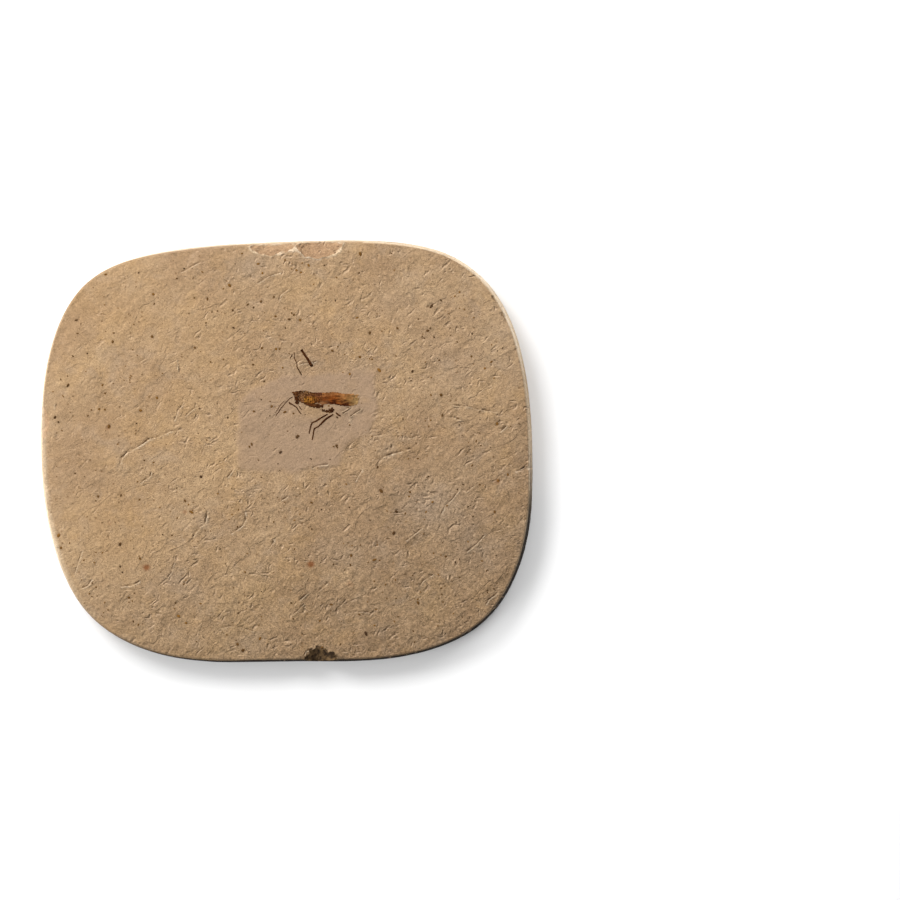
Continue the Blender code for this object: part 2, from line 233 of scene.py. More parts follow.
slab = {
    # foot of the edge, anticlockwise from +X, joined by a smooth closed curve
    "outline": (
        (82.3, -1), (79.5, 29), (67.5, 56), (55, 65.6), (40, 69.6), (5, 70.4),
        (-39, 67.2), (-67.2, 56.5), (-79, 35.5), (-82.5, 7), (-78.4, -31), (-65.8, -55.5),
        (-41, -68.6), (0, -70.6), (41.1, -68.5), (67, -56.4), (79.7, -33.1),
    ),
    "thickness": 10,
    "flare": 1.8,  # how far the foot of the edge stands out past the face
    # the edge from the face down: height share, flare share left to go
    "edgeProfile": ((0, 0.16), (0.07, 0.0), (0.3, 0.14), (0.78, 0.5), (0.955, 0.72), (1, 1)),
    "cells": (254, 218),
    "edgeRings": 14,
    # cells this near a crease or a pit are cut in four each way, and those of a chip and this far round it
    "fineWithin": 0.7, "fineCuts": 3, "fineRoundChip": 1,
    "splineSteps": 24,
    "waves": (0.35, 30), "lumps": (0.22, 9),  # height and length
    "ridges": (0.45, 6, 26), "ridgeAngle": 38, "ridgesFrom": (18, 48),
    "streaksLeft": 0.35,  # share of their height that the folds have on the left
    "wornBand": 4, "wornDrop": 0.3,
    "patchCentre": (6.5, 8.5), "patchHalf": (22, 16.5), "patchDrop": 0.22,
    "patchBorder": (0.78, 1.16), "patchRagged": (0.14, 9), "patchSmooth": 0.93,
    "hummocks": (0.13, 3.4), "grain": (0.035, 1.1),
    "streaks": (0.26, 2.4, 13),  # height, pitch and run of the fine folds on the right
    "bedding": (0.22, 0.8, 22),  # ledges of the edge: depth, bed thickness, run
    # border of the greyer ground, by the photograph's pixels
    "groundBorder": ((238, 402), (262, 385), (285, 376), (374, 371), (378, 408), (369, 431), (346, 446),
                     (338, 464), (300, 470), (239, 470)),
    # how much near black painted shade the foot of the edge gets where it is turned from the light, by the
    # angle round the slab in degrees, and the share of the height that it reaches
    "crust": ((-150, 0), (-136, 0.3), (-118, 0.8), (-95, 1), (-72, 1.25), (-34, 1.25), (-20, 1), (-8, 0.5),
              (4, 0)),
    "paintedShadeReach": (1.0, 0.8),
    # where the edge gets painted highlight, on the sides turned to the lamps, up and right being the sine and
    # cosine of the angle round the slab
    "paleFrom": (-0.45, 0.1), "paleTilt": 0.45,  # by up less this share of right: the upper left
    "paleRight": (0.7, 0.95, 0.6),  # the far right: by right, strength
    "lessAtTop": (0.7, 0.98, 0.3),  # less at the top: by up, share that is lost
    "narrowFrom": (0.25, 0.6), "narrowRight": 0.35,  # towards the upper left only its foot gets the painted highlight
    "narrowHeight": (0.62, 0.92),
    "paleBorder": (1.6, 0.1, 0.7),  # painted highlight on the face's border on the left: millimetres from the edge, strength
    "borderFrom": (0.9, 1.08), "borderTilt": 0.3,
    "chipPale": 0.15, "chipPaleSmooth": 0.5,  # how much of the painted highlight the inside of a stepped and of a smooth chip keeps
    "chipRim": (0.85, 0.98, 0.055), "chipRimAbove": 0.6,  # painted highlight on its rim: strength, place, width
    "chipRagged": 1.8, "chipSnap": 0.75,  # size of its raggedness, and how far its beds are stepped
    "nickDark": 0.6,
    "chalk": 0.55,  # strength of the painted highlight on the lit walls of the creases
    "dimFrom": (-10, 80), "dimTilt": 0.35,  # painted shade: darker towards the lower right, as the light falls off
    "creasedFrom": (-75, -10), "creasedTilt": 0.35,  # fewer short creases towards the upper left
    "groundRagged": (1.2, 5), "groundSoft": 1.1,
    "innerRing": 0.98, "sharpAngle": 40,
    "pitDepth": 0.35, "pitDirt": 0.8,
}

# Chips and pits: centre, radii, turn in degrees, how ragged, height of a bed where the chip is stepped
scoops = {
    "chipTopLeft": ((-4, 70.5, 11.0), (9.5, 6.0, 3.0), 4, 0.12, 0.35),
    "chipTopRight": ((10.8, 70.2, 11.2), (9.5, 6.7, 3.4), -3, 0.08, 0.55),
    "chipLeft": ((-82.6, 9.0, 11.0), (4.2, 7.4, 2.6), 0, 0.12, 0),
    "notchBottom": ((11.0, -70.9, 9.6), (4.9, 6.0, 5.2), 8, 0.16, 0.3),
    "notchBottomRight": ((14.4, -70.2, 10.2), (2.8, 3.6, 3.4), -12, 0.3, 0.4),
    "crumbLeft": ((5.2, -69.4, 10.2), (2.2, 1.7, 0.8), 12, 0.4, 0.3),
    "crumbRight": ((19, -69.5, 10.2), (3.2, 1.5, 0.9), 4, 0.4, 0.3),
    "nickRight": ((81.8, -5.2, 10.4), (3.4, 0.9, 1.8), 16, 0.1, 0),
    "nickUpperRightA": ((72.9, 45.2, 10.4), (1.0, 2.0, 1.6), 28, 0.1, 0),
    "nickUpperRightB": ((69.4, 50.8, 10.4), (0.9, 1.6, 1.4), 34, 0.1, 0),
    "pitOval": ((49.5, -14.0, 9.95), (1.9, 0.8, 0.8), 5, 0.05, 0),
    "pitUpperRight": ((53.9, 52.1, 9.95), (0.8, 1.5, 0.6), -15, 0.1, 0),
}

# Creases and cracks, by the photograph's pixels: half width, depth, path. A depth below 0 is a raised seam.
creases = {
    "west": (0.31, 0.38, ((120.4, 463.3), (121.8, 458), (127.6, 451.3), (133.3, 448.9), (140, 445.6),
                          (148.6, 439.1))),
    "westFar": (0.25, 0.16, ((148.6, 439.1), (157, 437.4), (163, 434.6), (170, 431.2), (182, 430))),
    "westLow": (0.27, 0.34, ((140, 483.4), (144.8, 479.5), (150.1, 476.2), (151, 473.3))),
    "middleEast": (0.3, 0.34, ((378.8, 461.8), (383.6, 457.1), (392.2, 453.7), (401.7, 451.3),
                               (409.4, 448.9))),
    "middleEastHigh": (0.23, 0.2, ((373, 436.5), (380, 435), (389.3, 433.1))),
    "eastHigh": (0.23, 0.2, ((409.9, 438.4), (418, 435.5))),
    "east": (0.27, 0.38, ((440, 516.4), (445.8, 504.9), (452.5, 499.1), (459.1, 489.6))),
    "eastTwin": (0.23, 0.25, ((466.8, 491.5), (476.4, 483.8))),
    "patchFoot": (0.27, 0.3, ((313.5, 467.6), (317.8, 465.7), (328.3, 464.2))),
    "patchWest": (0.23, 0.25, ((227.8, 477.1), (233.6, 469.5))),
    "middle": (0.23, 0.25, ((281.4, 500.6), (288.1, 496.3))),
    "southWest": (0.33, 0.48, ((193.4, 535.8), (198.2, 528.1), (204.9, 523.8), (207, 512))),
    "southWestSeam": (0.31, -0.25, ((170, 550), (180, 545.8), (185.7, 543), (191.5, 537.2))),
    "southWestTwin": (0.23, 0.25, ((182.4, 530.5), (183.3, 538.2))),
    "south": (0.27, 0.4, ((232.1, 532.9), (237.4, 529.6), (242.7, 525.7), (245.5, 520), (245, 513))),
    "southDash": (0.23, 0.3, ((268.5, 549.7), (273.8, 541))),
    "southCurve": (0.27, -0.2, ((225.9, 573.6), (227.8, 565.9), (231.7, 562.1))),
    "southLow": (0.28, 0.4, ((293.8, 604.7), (301.5, 598.4), (307.2, 593.7))),
    "southLowTwin": (0.23, 0.3, ((290, 617), (297, 611), (303.5, 604.5))),
    "southFold": (0.23, 0.25, ((316.8, 592.7), (327.3, 583.1))),
    "footWest": (0.28, 0.32, ((220.2, 628.1), (232.6, 625.7), (242, 627.5), (252.7, 631))),
    "southEast": (0.25, 0.25, ((406.5, 540.1), (414.2, 534.3), (420.9, 529.1))),
    "southEastHook": (0.3, 0.36, ((420.4, 585), (422.8, 581.2), (432.4, 575))),
    "footEast": (0.25, 0.25, ((344.3, 613.3), (356, 611.5), (368.3, 612.3), (377, 616.5))),
    "farEast": (0.27, 0.3, ((467, 551.6), (476.5, 543.9), (484.2, 535.3))),
    "farSouthEast": (0.27, 0.32, ((486.1, 604.2), (489, 599.4), (497.6, 592.7))),
    "lowWest": (0.27, 0.36, ((121.4, 586.5), (132.8, 585.1), (139, 581.5))),
    "rimWest": (0.27, 0.3, ((82.6, 587.9), (88, 585.5), (91.2, 580.1))),
    "rimWestFine": (0.23, 0.16, ((74, 575.5), (78, 564), (81.7, 551.6))),
    "lowWestCurve": (0.25, 0.28, ((167.8, 577.4), (171.5, 572), (173.5, 563.9))),
    "top": (0.23, 0.22, ((278.5, 301.7), (280.4, 295), (288.1, 289.3))),
    "topLong": (0.23, 0.2, ((258, 283), (269, 276), (280.4, 272.6))),
    "topArc": (0.23, 0.16, ((182, 272), (196, 264), (208, 259.5), (222, 258.5))),
    "westFine": (0.23, 0.18, ((185.7, 415.4), (193, 409), (199.1, 406.4))),
    "westFineTwin": (0.23, 0.2, ((174.5, 420), (178, 411), (183, 403))),
    "eastFold": (0.25, 0.24, ((444.8, 416.9), (453, 417), (462, 420.2))),
    "eastFoldLong": (0.27, 0.26, ((454.4, 405.4), (467.8, 406.4), (477.3, 409.2), (496, 412))),
    "middleSeam": (0.23, 0.2, ((355.4, 481), (361.6, 470.4))),
    "eastShort": (0.28, 0.36, ((499.5, 432.2), (506.2, 426.4))),
    "dash": (0.23, 0.3, ((178.4, 361), (179.2, 372))),
    "rimWestHigh": (0.23, 0.2, ((56.2, 405), (55.5, 409))),
    "rightNick": (0.25, 0.36, ((516.7, 470.9), (524.4, 467.6), (531.1, 464.7))),
    "notchArc": (0.25, 0.35, ((304, 656), (306, 651.5), (312, 649))),
    "legPrint": (0.23, 0.62, ((350.8, 416.1), (355.5, 412.7), (360.6, 409.6))),
    "jointPrint": (0.2, 0.34, ((343.3, 413.4), (347, 411.2), (351, 408.6))),
    "jointPrintTwin": (0.19, 0.24, ((341, 411.6), (345, 409.8), (348.5, 407.4))),
    "legPrintFar": (0.23, -0.1, ((346, 424.5), (350, 421))),
    "looseSeam": (0.22, 0.24, ((299.5, 364.4), (303, 363.4), (308, 363.2))),
    "looseSeamEast": (0.2, 0.3, ((312.9, 362.6), (316.4, 361.3))),
    "looseRidge": (0.2, -0.12, ((300.5, 361.6), (304.5, 359.8))),
}

# Open pits with iron in them, by the photograph's pixels: place, radius
ironPits = (
    (431.6, 306.3, 0.75), (379.1, 369.7, 0.65), (260.8, 301.6, 0.5), (229.7, 285.5, 0.65),
    (360.1, 254.4, 0.55), (308.7, 265.4, 0.5), (258.4, 264, 0.45), (296.5, 270.2, 0.45),
    (301.3, 272.6, 0.45), (262.5, 273, 0.45), (247.9, 304.6, 0.45), (253.2, 307.5, 0.4),
    (207.7, 298.7, 0.45), (194.2, 298.1, 0.3), (232.6, 310.4, 0.4), (233.6, 327.8, 0.45),
    (293.7, 314.7, 0.4), (289.5, 319.4, 0.45), (300.1, 319.9, 0.55), (275.7, 316.4, 0.45),
    (262, 348.1, 0.45), (276, 348.9, 0.45), (279.5, 348.9, 0.4), (194.8, 347.7, 0.45), (210.6, 362, 0.35),
    (253.2, 364.7, 0.4), (332.4, 351, 0.45), (360, 357.2, 0.5), (349.9, 374, 0.5), (412.3, 371.6, 0.45),
    (471.6, 356.3, 0.4), (491.4, 361.8, 0.45), (484.7, 368.2, 0.4), (370.2, 332.6, 0.5),
    (397.4, 327.8, 0.35), (427.4, 330.3, 0.45), (357.1, 317.8, 0.45), (76.4, 320.2, 0.5),
    (153.4, 293.9, 0.45), (106.1, 274.5, 0.45), (152, 336.7, 0.55), (113.2, 341.5, 0.5), (87.4, 353.4, 0.4),
    (68.6, 385, 0.5), (102.2, 385, 0.45), (104.9, 393.4, 0.4), (99.1, 409, 0.5), (140.5, 410.2, 0.55),
    (156.8, 398.2, 0.5), (108.6, 426.9, 0.6), (55.6, 417.2, 0.45), (58.2, 422.1, 0.35), (144.3, 460.4, 0.4),
    (97.9, 496.8, 0.4), (120.9, 495.5, 0.45), (139.5, 499.6, 0.45), (253.7, 411.1, 0.4),
    (271.4, 406.5, 0.45), (285.2, 412.1, 0.45), (293.6, 413.5, 0.4), (251.7, 444.6, 0.45),
    (249.4, 446.5, 0.35), (296.9, 437, 0.6), (280, 452.3, 0.5), (200.9, 477.1, 0.5), (191.5, 512.3, 0.6),
    (185, 501, 0.45), (311.3, 502.3, 0.4), (336.7, 445.6, 0.5), (377.8, 466.9, 0.4), (381.2, 490.5, 0.7),
    (409.9, 492.3, 0.4), (409.2, 496.5, 0.4), (432.4, 502, 0.4), (442.4, 415.4, 0.5), (441, 395.1, 0.5),
    (430.9, 395.1, 0.4), (497.6, 423.6, 0.5), (498.1, 481, 0.45), (507.8, 474.9, 0.4), (494.7, 512.1, 0.45),
    (58.2, 535.6, 0.6), (61.1, 547.7, 0.55), (120.6, 543.9, 0.5), (120.2, 566.6, 0.45), (140, 559, 0.4),
    (393.4, 533.1, 0.55), (374.5, 559.7, 0.6), (396.5, 512, 0.5), (351, 555.7, 0.5), (445.8, 556.4, 0.5),
    (482.3, 561.1, 0.35), (260.1, 638.6, 0.55), (237.4, 644.2, 0.55), (243.1, 650.6, 0.55),
    (319.7, 620.9, 0.45), (365.9, 633.8, 0.7), (418, 603.2, 0.5), (442.9, 602.1, 0.35), (178.4, 615.6, 0.5),
    (186, 623, 0.55), (129, 597.5, 0.5), (337, 447.5, 0.35), (434, 337, 0.35), (331, 604.5, 0.45),
)

# Stains that the stone took up, by the photograph's pixels: centre, radii, strength
rustStains = (
    ((146.7, 567.4), (3.2, 3), 0.9), ((311, 564), (3.2, 2.8), 1), ((350, 584), (5, 4), 0.35),
    ((185, 512), (3, 3), 0.5), ((110, 523), (4, 4), 0.3), ((498, 481), (3, 3), 0.5),
    ((108, 427), (3.5, 3.5), 0.4),
)
smears = (
    ((274.2, 418.3), (1.3, 1.3), 0.55), ((273.9, 421.4), (1.2, 1.2), 0.5),
    ((286.3, 396.5), (1.2, 1.6), 0.4), ((281, 394), (0.9, 2), 0.35), ((297.7, 356.8), (1.5, 2.2), 0.6),
    ((296.3, 375.5), (1.6, 1), 0.4), ((293.2, 380.4), (1.8, 2), 0.35), ((343.5, 413.2), (2.2, 1), 0.6),
    ((359.1, 407.2), (0.8, 0.8), 0.9), ((346, 416), (3, 0.8), 0.35), ((310, 420.5), (0.7, 1.6), 0.5),
    ((313, 411), (14, 7), 0.24),
)
blooms = (  # chalky spots, and painted highlight along the lit wall of the leg print
    ((350.4, 420.6), (1.8, 3.2), 0.3), ((347.5, 409.6), (3.6, 1.3), 0.25), ((352.6, 415.9), (1.6, 1), 0.3),
    ((356, 413.5), (1.6, 1), 0.35), ((359.2, 411.2), (1.4, 0.9), 0.4),
)
greyZones = (
    ((430, 505), (36, 24), 0.9), ((250, 265), (26, 14), 0.5), ((180, 585), (26, 20), 0.45),
    ((475, 545), (30, 26), 0.5), ((500, 335), (22, 40), 0.35), ((450, 360), (36, 30), 0.3),
    ((400, 300), (40, 14), 0.3), ((345, 555), (24, 16), 0.4),
)
ochreZones = (
    ((120, 530), (46, 42), 0.7), ((110, 300), (60, 60), 0.45), ((215, 340), (40, 40), 0.5),
    ((520, 396), (12, 12), 0.8), ((150, 420), (70, 40), 0.4), ((250, 600), (60, 36), 0.45),
    ((313, 411), (16, 8), 0.75), ((364, 400), (5, 3), 0.5), ((225, 470), (30, 40), 0.35),
    ((330, 300), (40, 30), 0.4),
)


def closedSpline(points, steps):  # periodic cubic, paced by the distance between the points
    points = np.array(points, float)
    count = len(points)
    after = np.roll(points, -1, axis=0)
    before = np.roll(points, 1, axis=0)
    step = np.linalg.norm(after - points, axis=1)
    last = np.roll(step, 1)
    system = np.zeros((count, count))
    for i in range(count):
        system[i, i - 1] = step[i]
        system[i, i] = 2 * (last[i] + step[i])
        system[i, (i + 1) % count] = last[i]
    right = 3 * (last / step)[:, None] * (after - points) + 3 * (step / last)[:, None] * (points - before)
    slope = np.linalg.solve(system, right)
    t = (np.arange(steps) / steps)[None, :, None]
    pull = (step[:, None] * slope)[:, None]
    push = (step[:, None] * np.roll(slope, -1, axis=0))[:, None]
    curve = (2 * t**3 - 3 * t**2 + 1) * points[:, None] + (t**3 - 2 * t**2 + t) * pull
    curve += (3 * t**2 - 2 * t**3) * after[:, None] + (t**3 - t**2) * push
    return curve.reshape(-1, 2)


rim = closedSpline(slab["outline"], slab["splineSteps"]) * mm
rimAngles = np.arctan2(rim[:, 1], rim[:, 0])
rimRadii = np.hypot(rim[:, 0], rim[:, 1])
halfLength = np.abs(rim[:, 0]).max()
halfWidth = np.abs(rim[:, 1]).max()
flare = slab["flare"] * mm
thickness = slab["thickness"] * mm


def rimRadius(angle):
    return np.interp(angle, rimAngles, rimRadii, period=2 * math.pi)


def patchShare(x, y):  # 1 on the ground patch, 0 off it
    across = (x / mm - slab["patchCentre"][0]) / slab["patchHalf"][0]
    up = (y / mm - slab["patchCentre"][1]) / slab["patchHalf"][1]
    reach = np.sqrt(np.hypot(across * across, up * up))
    ragged, length = slab["patchRagged"]
    ragged = ragged * noiseOver(x, y, length * mm, 2.2)
    return 1 - smoothStep(*slab["patchBorder"], reach + ragged)


def foldFrame(x, y):  # along and across the folds, which climb to the upper right
    angle = math.radians(slab["ridgeAngle"])
    along = x * math.cos(angle) + y * math.sin(angle)
    across = y * math.cos(angle) - x * math.sin(angle)
    return along, across


creaseLook = {
    "reach": 4,  # a crease is worked out this many half widths to either side
    "wander": (0.75, 1.3),  # how far its middle wanders, in half widths, and over what length
    "breaks": (0.85, 1.3, 2.4), "breakRange": (0.1, 1.4),  # how its depth varies: middle, swing, length
    "deeper": 1.2, "lip": (0.5, 1.7),  # the raised lip on the lit side: height, place in half widths
    "fullDepth": 0.4,  # from this depth on a crease's shaded wall gets the full painted shade
    # painted shade left on the lit wall, and the place and breadth of the painted highlight on it, in half
    # widths
    "litWallShade": 0.04, "litWall": (1, 0.6),
}


def creaseDepth(x, y, width, depth, path):  # how deep it is cut, the painted shade on its shaded wall and the painted highlight on its lit wall
    gap, side = distanceToPath(x, y, [fromPhoto(pixel) for pixel in path])
    near = gap < creaseLook["reach"] * width * mm
    cut, shaded, lit = (np.zeros(len(x)) for _ in range(3))
    gap, side, x, y = gap[near], side[near], x[near], y[near]
    swing, length = creaseLook["wander"]
    gap = gap / (width * mm) + swing * noiseOver(x, y, length * mm, 7.7, 2)
    groove = np.exp(-gap * gap)
    height, middle = creaseLook["lip"]
    lip = height * np.exp(-((gap - middle) ** 2)) * (side < 0)
    share, swing, length = creaseLook["breaks"]
    broken = np.clip(share + swing * noiseOver(x, y, length * mm, 3.9, 2), *creaseLook["breakRange"])
    cut[near] = creaseLook["deeper"] * depth * mm * broken * (groove - lip)
    creaseShade = depth / creaseLook["fullDepth"] * broken
    litShade = creaseLook["litWallShade"]
    shaded[near] = creaseShade * groove * (litShade + (1 - litShade) * (side > 0))
    middle, breadth = creaseLook["litWall"]
    highlit = min(1, depth / creaseLook["fullDepth"]) * broken
    lit[near] = highlit * np.exp(-(((gap - middle) / breadth) ** 2)) * (side < 0)
    return cut, shaded, lit


# Height of the stone's face, the painted shade on its creases' shaded walls together with the iron dirt in
# its pits, and the painted highlight on the creases' lit walls
def faceHeight(x, y):
    waves = slab["waves"][0] * noiseOver(x, y, slab["waves"][1] * mm, 1.7)
    lumps = slab["lumps"][0] * noiseOver(x, y, slab["lumps"][1] * mm, 1.1)
    along, across = foldFrame(x, y)
    height, pitch, run = slab["ridges"]
    onRight = smoothStep(*slab["ridgesFrom"], x / mm)
    ridges = height * noiseOver(along / run, across / pitch, mm, 4.0) * onRight
    height, pitch, run = slab["streaks"]
    streaks = noiseOver(along / run, across / pitch, mm, 9.0, 3)
    left = slab["streaksLeft"]
    streaks = height * (left + (1 - left) * onRight) * (0.5 - np.abs(streaks))
    hummocks = slab["hummocks"][0] * noiseOver(x, y, slab["hummocks"][1] * mm, 6.3, 2)
    grain = slab["grain"][0] * noiseOver(x, y, slab["grain"][1] * mm, 8.1, 2)
    patch = patchShare(x, y)
    toEdge = rimRadius(np.arctan2(y, x)) - flare - np.hypot(x, y)
    worn = slab["wornDrop"] * (1 - smoothStep(0, slab["wornBand"], toEdge / mm))
    rough = 1 - slab["patchSmooth"] * patch
    relief = (waves + lumps + ridges) * (1 - patch) + (streaks + hummocks + grain) * rough
    height = thickness + (relief - slab["patchDrop"] * patch - worn) * mm
    dirt = np.zeros(len(x))
    chalk = np.zeros(len(x))
    for width, depth, path in creases.values():
        groove, shaded, lit = creaseDepth(x, y, width, depth, path)
        height -= groove
        dirt = np.maximum(dirt, shaded)
        chalk = np.maximum(chalk, lit)
    for px, py, radius in ironPits:
        cx, cy = fromPhoto((px, py))
        pit = np.exp(-(((x - cx) ** 2 + (y - cy) ** 2) / (radius * mm) ** 2))
        height -= slab["pitDepth"] * radius * mm * pit
        dirt = np.maximum(dirt, slab["pitDirt"] * pit)
    return height, dirt, chalk


def facePlace(u, v):  # the face's point for a place in the square from -1 to 1
    out = np.maximum(np.abs(u), np.abs(v))
    angle = np.arctan2(v * halfWidth, u * halfLength)
    edge = (rimRadius(angle) - flare) * out
    bend = out * out
    x = (1 - bend) * u * (halfLength - flare) + bend * edge * np.cos(angle)
    y = (1 - bend) * v * (halfWidth - flare) + bend * edge * np.sin(angle)
    return x, y


# The face is a bent grid, cut finer along creases, specks and chips. Its border runs down ring by ring to
# the flat back. Until the end a vertex holds its place in the square and its ring.
def slabGrid():
    bm = bmesh.new()
    bmesh.ops.create_grid(bm, x_segments=slab["cells"][0], y_segments=slab["cells"][1], size=1)
    u = np.array([vert.co.x for vert in bm.verts])
    v = np.array([vert.co.y for vert in bm.verts])
    x, y = facePlace(u, v)
    near = np.zeros(len(x), bool)
    for width, depth, path in creases.values():
        near |= distanceToPath(x, y, [fromPhoto(pixel) for pixel in path])[0] < slab["fineWithin"] * mm
    for px, py, radius in ironPits:
        cx, cy = fromPhoto((px, py))
        near |= np.hypot(x - cx, y - cy) < slab["fineWithin"] * mm
    margin = slab["fineRoundChip"]
    for centre, radii, turn, ragged, bed in scoops.values():
        reach = ((x / mm - centre[0]) / (radii[0] + margin)) ** 2
        reach += ((y / mm - centre[1]) / (radii[1] + margin)) ** 2
        near |= reach < 1
    bm.verts.ensure_lookup_table()
    fine = [edge for edge in bm.edges if near[edge.verts[0].index] and near[edge.verts[1].index]]
    fine = [edge for edge in fine if not edge.is_boundary]
    bmesh.ops.subdivide_edges(bm, edges=fine, cuts=slab["fineCuts"], use_grid_fill=True)
    border = [edge for edge in bm.edges if edge.is_boundary]
    for ring in range(1, slab["edgeRings"] + 2):
        made = bmesh.ops.extrude_edge_only(bm, edges=border)["geom"]
        border = [item for item in made if isinstance(item, bmesh.types.BMEdge) and item.is_boundary]
        for vert in {vert for edge in border for vert in edge.verts}:
            vert.co.z = ring
    bmesh.ops.contextual_create(bm, geom=border)
    bmesh.ops.recalc_face_normals(bm, faces=bm.faces)
    return bm


def pushOut(points, centre, radii, turn, ragged, bed):  # moves what is inside a scoop onto its surface
    centre = np.array(centre) * mm
    radii = np.array(radii) * mm
    spin = np.array(Matrix.Rotation(math.radians(turn), 3, "Z"))
    local = (points - centre) @ spin / radii
    reach = np.linalg.norm(local, axis=1)
    wobble = noiseOver(points[:, 0] + points[:, 2], points[:, 1], slab["chipRagged"] * mm, 5.5, 2)
    surface = 1 + ragged * wobble
    inside = reach < surface
    moved = (local / reach[:, None] * surface[:, None] * radii) @ spin.T + centre
    if bed:
        snap = slab["chipSnap"]
        stepped = np.floor(moved[:, 2] / (bed * mm)) * bed * mm + 0.5 * bed * mm
        moved[:, 2] = (1 - snap) * moved[:, 2] + snap * stepped
    moved[:, 2] = np.minimum(moved[:, 2], np.maximum(points[:, 2], 0))
    points[inside] = moved[inside]
    return inside, reach / surface


def groundShare(x, y):  # 1 on the greyer ground round the insect, 0 off it
    border = [fromPhoto(pixel) for pixel in slab["groundBorder"]]
    ragged, length = slab["groundRagged"]
    inside = insideDistance(x, y, border) / mm + ragged * noiseOver(x, y, length * mm, 2.9, 3)
    return smoothStep(-slab["groundSoft"], slab["groundSoft"], inside)


def blobs(x, y, places):  # soft spots, given by the photograph's pixels
    total = np.zeros(len(x))
    for pixel, radii, strength in places:
        cx, cy = fromPhoto(pixel)
        reach = ((x - cx) / (radii[0] * photo["pixelWidth"] * mm)) ** 2
        reach += ((y - cy) / (radii[1] * photo["pixelWidth"] * mm)) ** 2
        total += strength * np.exp(-reach)
    return total


def paleShare(angle, share, toEdge, side):  # painted highlight on the edge and the face's border, on the sides turned to the lamps
    up, right = np.sin(angle), np.cos(angle)
    pale = smoothStep(*slab["paleFrom"], up - slab["paleTilt"] * right)
    low, high, strength = slab["paleRight"]
    pale = np.maximum(pale, strength * smoothStep(low, high, right))
    low, high, lost = slab["lessAtTop"]
    pale *= 1 - lost * smoothStep(low, high, up)
    narrow = smoothStep(*slab["narrowFrom"], up * (right < slab["narrowRight"]))
    narrow *= smoothStep(*slab["narrowHeight"], share)
    low, high, strength = slab["paleBorder"]
    border = smoothStep(*slab["borderFrom"], -right - slab["borderTilt"] * up)
    return pale * np.where(side, 1 - narrow, strength * smoothStep(low, high, toEdge) * border)


# The slab's points, the grid's border run down the edge. With them which ones are on the edge, their angle
# round the slab, their share of its height, their painted shade and dirt, and their painted highlight.
def slabPoints(mesh):
    grid = np.zeros(3 * len(mesh.vertices))
    mesh.vertices.foreach_get("co", grid)
    u, v, ring = grid.reshape(-1, 3).T
    x, y = facePlace(u, v)
    z, dirt, chalk = faceHeight(x, y)
    rings = slab["edgeRings"]
    angle = np.arctan2(y, x)
    share = np.clip(1 - ring / rings, 0, 1)
    profile = np.array(slab["edgeProfile"])
    left = np.interp(share, profile[:, 0], profile[:, 1])
    depth, bed, run = slab["bedding"]
    beds = noiseOver(angle * halfLength / (run * mm), share * thickness / (bed * mm), 1, 3.3, 2)
    radius = rimRadius(angle) - left * flare - depth * mm * np.abs(beds) * (share > 0)
    side = ring > 0
    x[side] = (radius * np.cos(angle))[side]
    y[side] = (radius * np.sin(angle))[side]
    z[side] = (share * z)[side]
    inner = ring > rings
    x[inner] *= slab["innerRing"]
    y[inner] *= slab["innerRing"]
    return x, y, z, side, angle, share, dirt, chalk


def makeSlab():
    bm = slabGrid()
    mesh = bpy.data.meshes.new("limestoneSlab")
    bm.to_mesh(mesh)
    bm.free()
    x, y, z, side, angle, share, dirt, chalk = slabPoints(mesh)
    points = np.stack((x, y, z), axis=1)
    toEdge = (rimRadius(angle) - flare - np.hypot(x, y)) / mm
    # painted highlight on the sides of the edge turned to the lamps, and on the face's border on the left
    pale = paleShare(angle, share, toEdge, side)
    turns, amounts = zip(*slab["crust"])
    # painted shade, near black, on the foot of the edge where it is turned from the light
    crust = np.interp(np.degrees(angle), turns, amounts) * smoothStep(*slab["paintedShadeReach"], share)
    fresh = np.zeros(len(x))
    dark = np.zeros(len(x))
    strength, middle, width = slab["chipRim"]
    for name, (centre, radii, turn, ragged, bed) in scoops.items():
        inside, reach = pushOut(points, centre, radii, turn, ragged, bed)
        if name.startswith("chip"):
            fresh[inside] = 1
            pale[inside] *= slab["chipPale"] if bed else slab["chipPaleSmooth"]
        # painted highlight along the rim of the chips at the top
        if name.startswith("chipTop"):
            onRim = np.exp(-(((reach - middle) / width) ** 2)) * (z > slab["chipRimAbove"] * thickness)
            pale = np.maximum(pale, strength * onRim)
        if name.startswith(("notch", "nickUpper")):
            dark[inside] = 1 if bed else slab["nickDark"]
            crust[inside] = 0
    mesh.vertices.foreach_set("co", points.ravel())
    onFace = (~side).astype(float)
    # painted highlight on the creases' lit walls, with the chalky spots
    highlit = np.maximum(slab["chalk"] * chalk, blobs(x, y, blooms))
    values = {
        "pale": np.maximum(pale, highlit * onFace), "crust": crust * side, "patch": groundShare(x, y) * onFace,
        # painted shade towards the lower right, which also strengthens the grain and relief there
        "dim": smoothStep(*slab["dimFrom"], (slab["dimTilt"] * x - y) / mm),
        "creased": smoothStep(*slab["creasedFrom"], (x - slab["creasedTilt"] * y) / mm),
        "dirt": np.clip(dirt + blobs(x, y, smears), 0, 1) * onFace, "fresh": fresh, "dark": dark,
    }
    for name, places in (("rust", rustStains), ("grey", greyZones), ("ochre", ochreZones)):
        values[name] = np.clip(blobs(x, y, places), 0, 1) * onFace
    for name, value in values.items():
        storeValue(mesh, name, value)
    mesh.polygons.foreach_set("use_smooth", np.ones(len(mesh.polygons), bool))
    mesh.update()
    mesh.set_sharp_from_angle(angle=math.radians(slab["sharpAngle"]))
    thing = bpy.data.objects.new("limestoneSlab", mesh)
    bpy.context.scene.collection.objects.link(thing)
    return thing


# Slab: limestone

